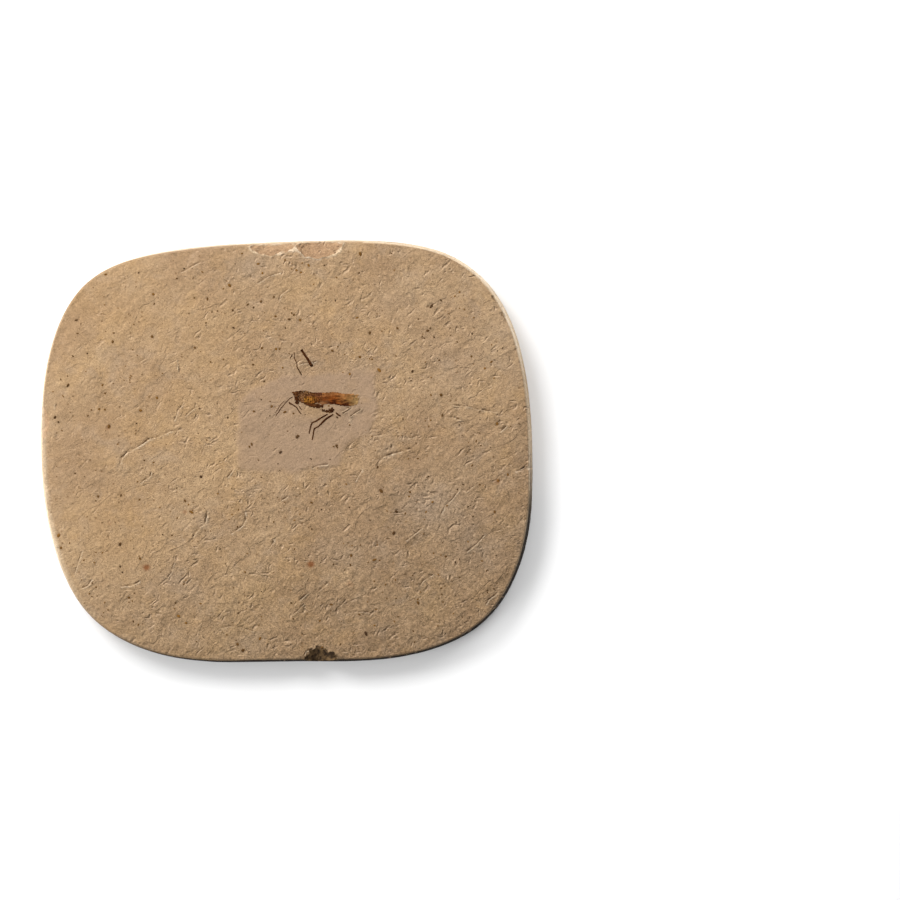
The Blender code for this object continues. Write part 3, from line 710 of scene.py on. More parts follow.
limestone = {
    "colours": {
        "light": "a08667", "middle": "93795d", "deep": "866b4e", "greyTan": "927e69", "ochreTan": "9f7f55",
        # the dirt tone is also the painted shade of the creases, and the chalk tone their painted highlight
        "ground": "8b745e", "fresh": "9f7f61", "rust": "70401f", "dirt": "3c2814", "chalk": "d3b494",
        # the edge tones are the painted highlight of the edge, a little darker on its beds
        "hollow": "2a1c10", "hollowStreak": "7d6343", "edge": "e3d1b9", "edgeBed": "c6ae8f",
        # near black painted shade for the side of the edge turned from the light
        "crust": "150c05", "speck": "5d4022",
    },
    # ways in which patterns are drawn out: turn about +Z in degrees, stretch
    "ways": {
        "alongBeds": (0, (25, 25, 1)), "alongFibres": (-30, (1, 2, 2)),
        "alongFolds": (slab["ridgeAngle"], (1.7, 1, 1)), "alongScratches": (42, (16, 1, 1)),
    },
    # patterns: size in millimetres, detail, distortion, roughness, way
    "patterns": {
        "zones": (26, 3, 0, 0.55, "place"), "mottle": (5, 4, 0.4, 0.55, "place"),
        "warmth": (11, 4, 0.5, 0.55, "place"), "coolness": (7.5, 4, 0.5, 0.55, "place"),
        "unrest": (9.5, 2, 0, 0.55, "place"), "ruggedness": (9, 2, 0, 0.55, "place"),
        "grain": (0.95, 3, 0.3, 0.7, "place"), "flour": (0.45, 2, 0, 0.7, "place"),
        "beds": (0.9, 3, 0, 0.55, "alongBeds"), "fibres": (1.3, 3, 0, 0.55, "alongFibres"),
        "flakes": (3.4, 5, 0.5, 0.66, "alongFolds"), "ledges": (8, 2, 0.6, 0.55, "alongFolds"),
        "ledgePlaces": (6, 2, 0, 0.55, "alongFolds"), "scratches": (0.8, 2, 0, 0.55, "alongScratches"),
    },
    # short creases, drawn about twice as wide as the real ones so that they show: length and width of their
    # cells, turn in degrees, share of the cells that have one, depth
    "creases": ((6.4, 1.1, 42, 0.12, 0.24), (4.6, 1, 6, 0.09, 0.2), (3.6, 1, 72, 0.1, 0.22),
                (1.9, 1, 26, 0.13, 0.18), (2.8, 1, -36, 0.06, 0.17)),
    "creaseBends": (4.5, 2.6),  # size of the bends, and how far they go
    "wallAside": 0.28,  # the lit wall lies this far to the left of its crease and above it
    "markEdge": (0.04, 0.36), "markSoft": 0.03,  # where in its cell a crease starts and ends
    "speckCell": 1.9, "speckEdge": (0.1, 0.24), "speckShare": (0.76, 0.82),
    # the steps that make the colour: range reads a value from low to high and gives what those two become
    "tanSteps": (
        ("zoned", "range", "zones", 0.35, 0.65, 0, 1),
        ("mottled", "range", "mottle", 0.3, 0.7, 0, 1),
        ("stone", "mix", "zoned", "lightTone", "middleTone"),
        ("deepShare", "multiply", "mottled", 0.45),
        ("stone", "mix", "deepShare", "stone", "deepTone"),
        ("warm", "range", "warmth", 0.5, 0.7, 0, 0.3),
        ("stone", "mix", "warm", "stone", "ochreTanTone"),
        ("cool", "range", "coolness", 0.52, 0.7, 0, 0.4),
        ("stone", "mix", "cool", "stone", "greyTanTone"),
        ("greyShare", "multiply", "grey", 0.75),
        ("stone", "mix", "greyShare", "stone", "greyTanTone"),
        ("groundShare", "range", "mottled", 0, 1, 0.95, 0.68),
        ("groundShare", "multiply", "groundShare", "patch"),
        ("stone", "mix", "groundShare", "stone", "groundTone"),
        ("ochreShare", "multiply", "ochre", 0.45),
        ("stone", "mix", "ochreShare", "stone", "ochreTanTone"),
        ("freshShare", "range", "zoned", 0, 1, 0.5, 0.9),
        ("freshShare", "multiply", "freshShare", "fresh"),
        ("stone", "mix", "freshShare", "stone", "freshTone"),
    ),
    "edgeSteps": (  # beds of the edge, a little darker and lighter in turn, the painted highlight on its sides turned to the lamps, and the near black painted shade on its lower right
        ("bed", "range", "beds", 0.35, 0.65, 0, 1),
        ("edge", "mix", "bed", "edgeTone", "edgeBedTone"),
        ("paleShare", "multiply", "pale", 0.9),
        ("stone", "mix", "paleShare", "stone", "edge"),
        ("crusted", "subtract", "bed", 0.5),
        ("crusted", "multiply_add", "crusted", 0.3, "crust"),
        ("crusted", "range", "crusted", 0.1, 0.8, 0, 0.96),
        ("stone", "mix", "crusted", "stone", "crustTone"),
    ),
    "creaseSteps": (  # painted shade in the short creases, and painted highlight on the wall that faces the light
        ("busy", "range", "unrest", 0.42, 0.58, 0.1, 1.3),
        ("creasedShare", "range", "creased", 0, 1, 0.45, 1.1),
        ("busy", "multiply", "busy", "creasedShare"),
        ("grooves", "multiply", "grooves", "busy"),
        ("walls", "multiply", "walls", "busy"),
        ("offPatch", "range", "patch", 0, 1, 1, 0.25),
        ("wallShare", "range", "walls", 0.03, 0.25, 0, 0.42),
        ("wallShare", "multiply", "wallShare", "offPatch"),
        ("stone", "mix", "wallShare", "stone", "chalkTone"),
        ("grooveShare", "range", "grooves", 0.05, 0.25, 0, 0.42),
        ("grooveShare", "multiply", "grooveShare", "offPatch"),
        ("stone", "mix", "grooveShare", "stone", "dirtTone"),
    ),
    "shadeSteps": (  # light and dark grains, softer on the ground patch and towards the upper left, with painted shade darkening the stone towards the lower right
        ("grainShade", "range", "grain", 0.25, 0.75, 0.76, 1.22),
        ("shade", "range", "flour", 0.25, 0.75, 0.78, 1.22),
        ("shade", "multiply", "shade", "grainShade"),
        ("shade", "subtract", "shade", 1),
        ("onPatch", "range", "patch", 0, 1, 1, 0.5),
        ("shade", "multiply", "shade", "onPatch"),
        ("below", "range", "dim", 0, 1, 1.1, 1.6),
        ("shade", "multiply", "shade", "below"),
        ("uneven", "range", "creased", 0, 1, 0.82, 1.05),
        ("shade", "multiply_add", "shade", "uneven", 1),
        ("dimmed", "range", "dim", 0, 1, 1, 0.87),
        ("shade", "multiply", "shade", "dimmed"),
        ("stone", "tint", 1, "stone", "shade"),
    ),
    "stainSteps": (  # pin specks, drawn a little larger than the real ones so that they show, rust, dirt in the pits and smears with the painted shade of the creases, and the dark hollows of the notches and nicks
        ("speckOnPatch", "range", "patch", 0, 1, 1, 0.4),
        ("speck", "multiply", "speck", "speckOnPatch"),
        ("speckDark", "multiply", "speck", 0.55),
        ("stone", "mix", "speckDark", "stone", "speckTone"),
        ("stain", "multiply_add", "mottled", 0.25, "rust"),
        ("stain", "range", "stain", 0.25, 0.8, 0, 0.8),
        ("stone", "mix", "stain", "stone", "rustTone"),
        ("dirtShare", "multiply", "dirt", 0.5),
        ("stone", "mix", "dirtShare", "stone", "dirtTone"),
        ("streaked", "range", "fibres", 0.42, 0.58, 0, 1),
        ("hollow", "mix", "streaked", "hollowTone", "hollowStreakTone"),
        ("hollowShare", "range", "mottled", 0, 1, 1, 0.75),
        ("hollowShare", "multiply", "hollowShare", "dark"),
        ("stone", "mix", "hollowShare", "stone", "hollow"),
    ),
    # relief of the split, in millimetres: thin flakes drawn out along the folds, their ledges, creases,
    # specks and grain, lower on the ground patch, with the fine scratches of the grinding there alone
    "reliefSteps": (
        ("rugged", "range", "ruggedness", 0.35, 0.65, 0.6, 1.3),
        ("relief", "multiply", "flakes", 0.78),
        ("relief", "multiply", "relief", "rugged"),
        ("ledge", "step", "ledges", 0.495, 0.515, 0, 1),
        ("ledgeHeight", "range", "ledgePlaces", 0.48, 0.56, 0, 0.2),
        ("relief", "multiply_add", "ledge", "ledgeHeight", "relief"),
        ("relief", "subtract", "relief", "grooves"),
        ("relief", "multiply_add", "speck", -0.12, "relief"),
        ("relief", "multiply_add", "grain", 0.42, "relief"),
        ("relief", "multiply_add", "flour", 0.26, "relief"),
        ("smoothed", "range", "patch", 0, 1, 1, 0.55),
        ("relief", "multiply", "relief", "smoothed"),
        ("calmed", "range", "creased", 0, 1, 0.78, 1.06),
        ("relief", "multiply", "relief", "calmed"),
        ("raised", "range", "dim", 0, 1, 1, 1.45),
        ("relief", "multiply", "relief", "raised"),
        ("rubbed", "range", "pale", 0, 1, 1, 0.5),
        ("relief", "multiply", "relief", "rubbed"),
        ("scratched", "multiply", "scratches", "patch"),
        ("relief", "multiply_add", "scratched", 0.09, "relief"),
    ),
    "stored": ("pale", "crust", "patch", "dim", "creased", "dirt", "fresh", "dark", "rust", "grey", "ochre"),
    "roughness": 0.9, "specular": 0.12, "refraction": 1.5,
}


def size(millimetres):  # a noise's scale, from the size of its pattern
    return 1 / (millimetres * mm)


# Laminated limestone, split along a bed and left matt. The split shows soft tan mottling, chalky grain,
# thin flakes, short creases and pin specks of iron. Where it was ground round the fossil it is greyer and
# smooth. Shade and highlight are painted into its colour in and beside the creases and on the edge, and
# painted shade darkens it towards the lower right.
def limestoneMaterial():
    material, tree, shader = newMaterial("splitLimestone", limestone)
    place = addNode(tree, "ShaderNodeTexCoord").outputs["Object"]
    wires = {"place": place, "grooves": 0, "walls": 0}
    for name, code in limestone["colours"].items():
        wires[name + "Tone"] = hexColour(code)
    for name in limestone["stored"]:
        wires[name] = addNode(tree, "ShaderNodeAttribute", attribute_name=name).outputs["Fac"]
    for name, (turn, stretch) in limestone["ways"].items():
        way = {"Vector": place, "Rotation": (0, 0, math.radians(turn)), "Scale": stretch}
        wires[name] = addNode(tree, "ShaderNodeMapping", way, vector_type="TEXTURE").outputs["Vector"]
    for name, (length, detail, distortion, rough, way) in limestone["patterns"].items():
        wires[name] = addNode(tree, "ShaderNodeTexNoise", {
            "Vector": wires[way], "Scale": size(length), "Detail": detail, "Distortion": distortion,
            "Roughness": rough}).outputs["Fac"]

    # each short crease lies in a cell of its own, on a plane that wavers; the walls, where its highlight is
    # painted, read it from aside
    soft = limestone["markSoft"]
    length, reach = limestone["creaseBends"]
    waver = addNode(tree, "ShaderNodeTexNoise", {
        "Vector": place, "Scale": size(length), "Detail": 2, "Roughness": 0.55}).outputs["Color"]
    for marks, shift in (("grooves", 0), ("walls", limestone["wallAside"] * mm)):
        bent = addNode(tree, "ShaderNodeVectorMath", {0: waver, 1: (reach * mm,) * 3, 2: (-shift, shift, 0)},
                       operation="MULTIPLY_ADD").outputs["Vector"]
        bent = addNode(tree, "ShaderNodeVectorMath", {0: place, 1: bent}, operation="ADD").outputs["Vector"]
        for length, width, turn, share, depth in limestone["creases"]:
            stretch = (length * mm, width * mm, 1)
            way = {"Vector": bent, "Rotation": (0, 0, math.radians(turn)), "Scale": stretch}
            way = addNode(tree, "ShaderNodeMapping", way, vector_type="TEXTURE").outputs["Vector"]
            cells = addNode(tree, "ShaderNodeTexVoronoi", {"Vector": way, "Scale": 1},
                            voronoi_dimensions="2D")
            parts = addNode(tree, "ShaderNodeSeparateColor", {0: cells.outputs["Color"]})
            wires.update(gap=cells.outputs["Distance"], pick=parts.outputs["Red"])
            addSteps(tree, wires, (
                ("mark", "range", "gap", *limestone["markEdge"], depth, 0),
                ("chosen", "range", "pick", 1 - share, 1 + soft - share, 0, 1),
                (marks, "multiply_add", "mark", "chosen", marks),
            ))
    cells = addNode(tree, "ShaderNodeTexVoronoi", {"Vector": place, "Scale": size(limestone["speckCell"])})
    parts = addNode(tree, "ShaderNodeSeparateColor", {0: cells.outputs["Color"]})
    wires.update(gap=cells.outputs["Distance"], pick=parts.outputs["Red"])
    addSteps(tree, wires, (
        ("speck", "range", "gap", *limestone["speckEdge"], 1, 0),
        ("chosen", "range", "pick", *limestone["speckShare"], 0, 1),
        ("speck", "multiply", "speck", "chosen"),
    ))
    for steps in ("tanSteps", "edgeSteps", "creaseSteps", "shadeSteps", "stainSteps", "reliefSteps"):
        addSteps(tree, wires, limestone[steps])
    tree.links.new(wires["stone"], shader.inputs["Base Color"])
    bump = addNode(tree, "ShaderNodeBump", {"Height": wires["relief"], "Strength": 1, "Distance": mm})
    tree.links.new(bump.outputs["Normal"], shader.inputs["Normal"])
    shader.inputs["IOR"].default_value = limestone["refraction"]
    return material


slabPiece = makeSlab()
stoneMaterial = limestoneMaterial()
finishPiece(slabPiece, stoneMaterial, "limestone", "slab")
print("slab:", len(slabPiece.data.vertices), "vertices")


# Insect: flat films. Each rises from the stone at its outline, which noise frays, and dips back into it
# where the film has flaked away.

films = {
    "head": {
        "slot": "dark_fossil", "finish": "dark", "crown": 0.2, "ragged": 0.1, "gaps": 0.42, "gapSize": 0.6,
        "outline": (
            (1.94, 19.68), (2.78, 19.81), (3.61, 19.94), (4.44, 19.88), (4.5, 18.95), (4.37, 17.62),
            (4.57, 16.62), (4.3, 15.62), (3.77, 15.36), (3.17, 15.79), (2.84, 16.95), (2.97, 17.78),
            (2.51, 18.68), (2.04, 19.18),
        ),
    },
    "pronotum": {
        "slot": "dark_fossil", "finish": "brown", "crown": 0.28, "ragged": 0.08, "gaps": 0.5, "gapSize": 0.5,
        "outline": (
            (4.1, 19.88), (5.1, 20.11), (6.43, 20.08), (7.59, 19.88), (8.76, 19.48), (8.26, 18.75),
            (6.93, 18.28), (6.5, 17.62), (6.43, 16.79), (6.23, 15.82), (5.1, 16.02), (4.3, 16.55),
            (4.1, 17.62), (4.24, 18.95),
        ),
    },
    "thorax": {
        "slot": "golden_fossil", "finish": "golden", "crown": 0.3, "ragged": 0.1, "gaps": 0.12,
        "gapSize": 0.9, "ribs": (0.1, 0.62),
        "outline": (
            (5.97, 18.08), (7.03, 18.95), (8.42, 19.35), (9.75, 19.48), (12.08, 19.41), (12.21, 17.95),
            (12.08, 16.45), (11.02, 16.09), (9.42, 15.79), (7.76, 15.66), (6.16, 15.96), (5.9, 17.12),
        ),
    },
    "leg_bases": {
        "slot": "dark_fossil", "finish": "dark", "crown": 0.2, "ragged": 0.12, "gaps": 0.3, "gapSize": 0.8,
        "outline": (
            (5.77, 16.09), (6.93, 16.16), (8.09, 15.96), (9.42, 15.89), (10.59, 15.69), (11.75, 15.66),
            (12.55, 15.29), (12.41, 14.46), (11.08, 14.13), (9.59, 14.29), (7.93, 14.73), (6.76, 15.22),
        ),
    },
    "forewings": {
        "slot": "amber_fossil", "finish": "amber", "crown": 0.26, "ragged": 0.22, "gaps": 0.08,
        "gapSize": 1.2, "veins": (0.06, 9), "fade": (0.72, 1),
        "outline": (
            (11.75, 19.28), (13.91, 19.45), (16.07, 19.64), (18.4, 19.28), (21.39, 18.91), (22.72, 19.08),
            (24.51, 18.75), (24.64, 17.82), (24.28, 16.75), (24.44, 15.82), (23.45, 15.29), (22.05, 14.96),
            (20.06, 14.83), (18.06, 15.16), (15.74, 15.56), (13.74, 15.69), (12.41, 15.36), (10.75, 15.82),
        ),
    },
    "hip": {
        "slot": "dark_fossil", "finish": "dark", "crown": 0.2, "ragged": 0.12, "gaps": 0.35, "gapSize": 0.6,
        "outline": (
            (11.25, 13.9), (12.25, 14.09), (13.08, 13.7), (13.91, 13.63), (14.67, 14.43), (15.6, 14.63),
            (16.23, 13.96), (16, 13.1), (15.24, 12.63), (14.41, 12.83), (13.61, 12.77), (12.94, 13.03),
            (12.08, 13.23), (11.42, 13.43),
        ),
    },
}
filmGrid = {
    "spacing": 0.1, "margin": 5,  # in millimetres, and in spacings
    "rise": 0.22, "dip": 0.35, "floor": 0.5,
    "fraySize": 0.7, "flaked": (0.1, 0.45),
    "thinned": 0.75, "frayed": (0.85, -0.1, 0.4, 0.8),  # the tip's height lost, and how its border frays
    "crumple": (0.05, 0.9), "inner": (-0.05, 0.42),
    "ribWaver": (1.5, 2), "veinWaver": (1.2, 4),
    "seed": 12, "seedStep": 3,
}


def filmPlaces(x, lift, shape):  # how far along the film from the head, and how far across from its low edge
    columns = lift.reshape(shape) > 0
    used = columns.any(axis=0)
    first = np.argmax(columns, axis=0)
    last = shape[0] - 1 - np.argmax(columns[::-1], axis=0)
    index = np.arange(shape[1])
    low = np.interp(index, index[used], first[used])
    high = np.interp(index, index[used], last[used])
    rows = np.arange(shape[0])[:, None]
    across = np.clip((rows - low) / np.maximum(high - low, 1), 0, 1)
    start, end = index[used][0], index[used][-1]
    along = np.clip((index - start) / (end - start), 0, 1)[None, :] + np.zeros(shape)
    return along.ravel(), across.ravel()


def makeFilm(name, look, seed):
    outline = [(px * mm, py * mm) for px, py in look["outline"]]
    spacing = filmGrid["spacing"] * mm
    low = np.min(outline, axis=0) - filmGrid["margin"] * spacing
    high = np.max(outline, axis=0) + filmGrid["margin"] * spacing
    xs = np.arange(low[0], high[0], spacing)
    ys = np.arange(low[1], high[1], spacing)
    x, y = (side.ravel() for side in np.meshgrid(xs, ys))
    fray = noiseOver(x, y, filmGrid["fraySize"] * mm, seed, 2)
    lift = insideDistance(x, y, outline) / mm + look["ragged"] * fray
    flaked = noiseOver(x, y, look["gapSize"] * mm, seed + 30, 2)
    lift -= look["gaps"] * smoothStep(*filmGrid["flaked"], flaked)
    rise = filmGrid["rise"]
    along, across = filmPlaces(x, lift, (len(ys), len(xs)))
    swell = look["crown"] * (1 - (1 - np.clip(lift / rise, 0, 1)) ** 2)
    if "fade" in look:  # the tip thins out and frays
        fade = smoothStep(*look["fade"], along)
        swell *= 1 - filmGrid["thinned"] * fade
        frayed, least, most, length = filmGrid["frayed"]
        lift -= frayed * fade * smoothStep(least, most, noiseOver(x, y, length * mm, seed + 90, 2))
    height, length = filmGrid["crumple"]
    detail = height * noiseOver(x, y, length * mm, seed + 60, 2)
    if "ribs" in look:
        height, pitch = look["ribs"]
        swing, length = filmGrid["ribWaver"]
        waver = swing * noiseOver(x, y, length * mm, seed + 5)
        detail += height * np.sin(2 * math.pi * x / (pitch * mm) + waver)
    if "veins" in look:
        height, count = look["veins"]
        swing, length = filmGrid["veinWaver"]
        waver = swing * noiseOver(x, y, length * mm, seed + 5)
        detail += height * np.sin(2 * math.pi * count * across + waver)
    top = swell + detail * np.clip(lift / rise, 0, 1) + filmGrid["dip"] * np.minimum(lift / rise, 0)
    ground = faceHeight(x, y)[0]
    kept = (lift > -rise).reshape(len(ys), len(xs))
    cells = kept[:-1, :-1] & kept[1:, :-1] & kept[:-1, 1:] & kept[1:, 1:]
    rows, columns = np.nonzero(cells)
    corner = rows * len(xs) + columns
    quads = np.stack((corner, corner + 1, corner + 1 + len(xs), corner + len(xs)), axis=1)
    used, quads = np.unique(quads, return_inverse=True)
    quads = quads.reshape(-1, 4)
    count = len(used)
    upper = np.stack((x, y, ground + top * mm), axis=1)[used]
    lower = np.stack((x, y, ground - filmGrid["floor"] * mm), axis=1)[used]
    sides = set(map(tuple, np.concatenate([quads[:, [i, (i + 1) % 4]] for i in range(4)]).tolist()))
    walls = [(b, a, a + count, b + count) for a, b in sides if (b, a) not in sides]
    faces = quads.tolist() + (quads[:, ::-1] + count).tolist() + walls
    film = newPiece(name + "Film", np.concatenate((upper, lower)).tolist(), faces)
    storeValue(film.data, "along", np.tile(along[used], 2))
    storeValue(film.data, "across", np.tile(across[used], 2))
    storeValue(film.data, "inner", np.tile(smoothStep(*filmGrid["inner"], lift[used]), 2))
    film.data.polygons.foreach_set("use_smooth", np.ones(len(faces), bool))
    return film


# Fossil cuticle: the insect's own skin, turned to iron oxides. A thin dull film, darkest where it lies
# thickest, with colour that changes from its front to its tip and flecks where it has weathered. Low and high
# are its colours towards its lower and its upper edge, rim its colour along its whole border.
cuticles = {
    "dark": {
        "colours": {
            "front": "43250c", "middle": "3a1d08", "rear": "331806", "tip": "331806", "high": "43240f",
            "lowFront": "2c1205", "low": "2c1205", "rim": "210e03", "fleck": "7a5a36",
        },
        "lowShare": 0.4, "highShare": 0.3, "rimShare": 0.75, "roughness": 0.8,
        "fleckSize": 0.7, "fleckFrom": 0.52, "fleckTo": 0.62, "fleckShare": 0.18,
    },
    "brown": {
        "colours": {
            "front": "3a1f0a", "middle": "57361b", "rear": "4a2c10", "tip": "4a2c10", "high": "1e0901",
            "lowFront": "43240b", "low": "43240b", "rim": "2a1204", "fleck": "9c7650",
        },
        "lowShare": 0.6, "highShare": 0.95, "rimShare": 0.5, "roughness": 0.75,
        "fleckSize": 0.5, "fleckFrom": 0.51, "fleckTo": 0.58, "fleckShare": 0.5,
    },
    "golden": {
        "colours": {
            "front": "906325", "middle": "8a5a21", "rear": "673c1c", "tip": "673c1c", "high": "48291d",
            "lowFront": "5d3511", "low": "5d3511", "rim": "46250b", "fleck": "341804",
        },
        "lowShare": 0.75, "highShare": 0.95, "rimShare": 0.4, "roughness": 0.7,
        "fleckSize": 0.6, "fleckFrom": 0.49, "fleckTo": 0.56, "fleckShare": 0.9,
    },
    "amber": {
        "colours": {
            "front": "542b11", "middle": "6c3811", "rear": "6f4f2a", "tip": "96794f", "high": "8a5d36",
            "lowFront": "7f5533", "low": "351201", "rim": "5c3a1c", "fleck": "40200a",
        },
        "lowShare": 1, "highShare": 0.6, "rimShare": 0.25, "roughness": 0.7,
        "fleckSize": 0.8, "fleckFrom": 0.52, "fleckTo": 0.62, "fleckShare": 0.5,
        "lowEnds": 0.86, "lowFades": 0.72,
    },
}
cuticleLook = {  # what all of them share
    "streakSize": 0.6, "streakLength": (0.35, 1, 1), "fleckRelief": 0.12, "specular": 0.04,
    "turns": (0.42, 0.74),  # where along the insect its colours change
    "lowEnds": 2, "lowFades": 1,  # where the dark lower border ends and starts to fade, 1 being the tip
    "steps": (
        ("wavering", "add", "streak", "across"),
        ("high", "range", "wavering", 1.05, 1.4, 0, "highShare"),
        ("skin", "mix", "high", "skin", "highTone"),
        ("low", "range", "wavering", 0.95, 0.6, 0, "lowShare"),
        ("until", "range", "along", "lowEnds", "lowFades", 0, 1),
        ("low", "multiply", "low", "until"),
        ("rearward", "range", "along", 0.12, 0.3, 0, 1),
        ("lowColour", "mix", "rearward", "lowFrontTone", "lowTone"),
        ("skin", "mix", "low", "skin", "lowColour"),
        ("rim", "range", "inner", 0.8, 0, 0, "rimShare"),
        ("skin", "mix", "rim", "skin", "rimTone"),
        ("fleck", "range", "flecks", "fleckFrom", "fleckTo", 0, "fleckShare"),
        ("skin", "mix", "fleck", "skin", "fleckTone"),
        ("light", "range", "streak", 0.3, 0.7, 0.5, 1.5),
        ("skin", "tint", 1, "skin", "light"),
    ),
}


def cuticleMaterial(name, look):
    look = {**cuticleLook, **look}
    material, tree, shader = newMaterial(name + "Cuticle", look)
    place = addNode(tree, "ShaderNodeTexCoord").outputs["Object"]
    drawn = addNode(tree, "ShaderNodeMapping", {"Vector": place, "Scale": look["streakLength"]})
    wires = {**look, **{part + "Tone": hexColour(code) for part, code in look["colours"].items()}}
    for part in ("along", "across", "inner"):
        wires[part] = addNode(tree, "ShaderNodeAttribute", attribute_name=part).outputs["Fac"]
    wires["streak"] = addNode(tree, "ShaderNodeTexNoise", {
        "Vector": drawn.outputs["Vector"], "Scale": size(look["streakSize"]), "Detail": 3}).outputs["Fac"]
    wires["flecks"] = addNode(tree, "ShaderNodeTexNoise", {
        "Vector": place, "Scale": size(look["fleckSize"]), "Detail": 3, "Roughness": 0.65}).outputs["Fac"]
    ramp = addNode(tree, "ShaderNodeValToRGB", {"Fac": wires["along"]})
    ramp.color_ramp.elements[0].color = wires["frontTone"]
    ramp.color_ramp.elements[1].color = wires["tipTone"]
    for part, turn in zip(("middleTone", "rearTone"), look["turns"]):
        ramp.color_ramp.elements.new(turn).color = wires[part]
    wires["skin"] = ramp.outputs["Color"]
    addSteps(tree, wires, look["steps"])
    tree.links.new(wires["skin"], shader.inputs["Base Color"])
    relief = {"Height": wires["flecks"], "Distance": look["fleckRelief"] * mm}
    tree.links.new(addNode(tree, "ShaderNodeBump", relief).outputs["Normal"], shader.inputs["Normal"])
    return material


cuticle = {name: cuticleMaterial(name, look) for name, look in cuticles.items()}
for number, (name, look) in enumerate(films.items()):
    film = makeFilm(name, look, filmGrid["seed"] + filmGrid["seedStep"] * number)
    finishPiece(film, cuticle[look["finish"]], look["slot"], name)
print("films:", len(films))


# Insect: legs and antennae, as paths over the stone with a radius at each point

limbs = {
    "antenna_near": (
        (2.35, 18, 0.15), (1.3, 17.4, 0.15), (0.1, 16.2, 0.16), (-1.1, 14.7, 0.15), (-1.9, 13.9, 0.15),
        (-2.2, 13.1, 0.14), (-3, 12.1, 0.13), (-3.4, 11.5, 0.1),
    ),
    "antenna_far": (
        (-0.65, 16.5, 0.11), (-1.35, 15.75, 0.12), (-2.05, 14.9, 0.12), (-2.5, 14.1, 0.12),
        (-3, 13.35, 0.11), (-3.5, 12.7, 0.1),
    ),
    "foreleg_near": (
        (1.05, 16.1, 0.22), (1.35, 15.9, 0.3), (2.3, 15.4, 0.2), (3.5, 14.6, 0.22), (4, 13.9, 0.17),
        (4.4, 13.2, 0.16), (5.2, 12.3, 0.12),
    ),
    "foreleg_far": ((4.45, 14.95, 0.13), (4.8, 14.3, 0.15), (5.35, 13.7, 0.13)),
    "middle_leg": (
        (13.9, 12.3, 0.2), (13.4, 11.95, 0.28), (11.5, 10.9, 0.31), (10.2, 10, 0.3), (8.75, 9.4, 0.28),
        (8.3, 8.2, 0.25), (7.9, 6.5, 0.23), (7.8, 5.7, 0.15),
    ),
    "hind_leg": (
        (15.8, 12.2, 0.22), (15.1, 11.75, 0.31), (13.4, 10.7, 0.37), (11.8, 9.1, 0.33), (10.9, 8.2, 0.24),
        (10.3, 7.85, 0.2), (9.6, 7.5, 0.3), (9.3, 6.6, 0.25), (9.1, 5.2, 0.24), (8.8, 3.7, 0.22),
    ),
    "leg_stub": ((16.6, 12.75, 0.16), (17.3, 12.2, 0.32), (18.2, 11.6, 0.26)),
    "loose_femur": (
        (5.2, 33.7, 0.52), (5.6, 33.1, 0.34), (6.4, 31.9, 0.48), (6.8, 31.3, 0.36), (7.2, 30.7, 0.48),
        (7.55, 30.1, 0.4), (7.9, 29.6, 0.52), (8.5, 28.6, 0.62), (8.85, 28.1, 0.4),
    ),
    "loose_tibia": (
        (2.8, 32.8, 0.2), (2.85, 31.4, 0.1), (3, 30.6, 0.19), (3.7, 29.3, 0.15), (3.8, 27.8, 0.22),
        (4.4, 26.9, 0.17), (4.9, 26, 0.2), (5.3, 25.3, 0.18),
    ),
    "loose_tarsus": ((2.3, 32.1, 0.1), (1.95, 31.6, 0.19), (1.4, 30.7, 0.17)),
}
limbLook = {
    "step": 0.12, "sides": 10, "crumple": 0.1, "crumpleSize": 0.45, "weld": 0.001,
    "sunk": 0.3,  # how far the path lies under the stone's face, for its radius
    "across": 0.5, "inner": 0.4,  # what its skin takes for its place in a film
}


def startTree(name, sockets):  # a Geometry Nodes tree, and the sockets of what it is given
    tree = bpy.data.node_groups.new(name, "GeometryNodeTree")
    tree.interface.new_socket(name="Geometry", in_out="OUTPUT", socket_type="NodeSocketGeometry")
    for label, kind in {"Geometry": "Geometry", **sockets, "Material": "Material"}.items():
        tree.interface.new_socket(name=label, in_out="INPUT", socket_type="NodeSocket" + kind)
    return tree, addNode(tree, "NodeGroupInput").outputs


def endTree(tree, shape, material):
    real = addNode(tree, "GeometryNodeRealizeInstances", {"Geometry": shape})
    dressed = addNode(tree, "GeometryNodeSetMaterial", {
        "Geometry": real.outputs["Geometry"], "Material": material})
    addNode(tree, "NodeGroupOutput", {"Geometry": dressed.outputs["Geometry"]})
    return tree


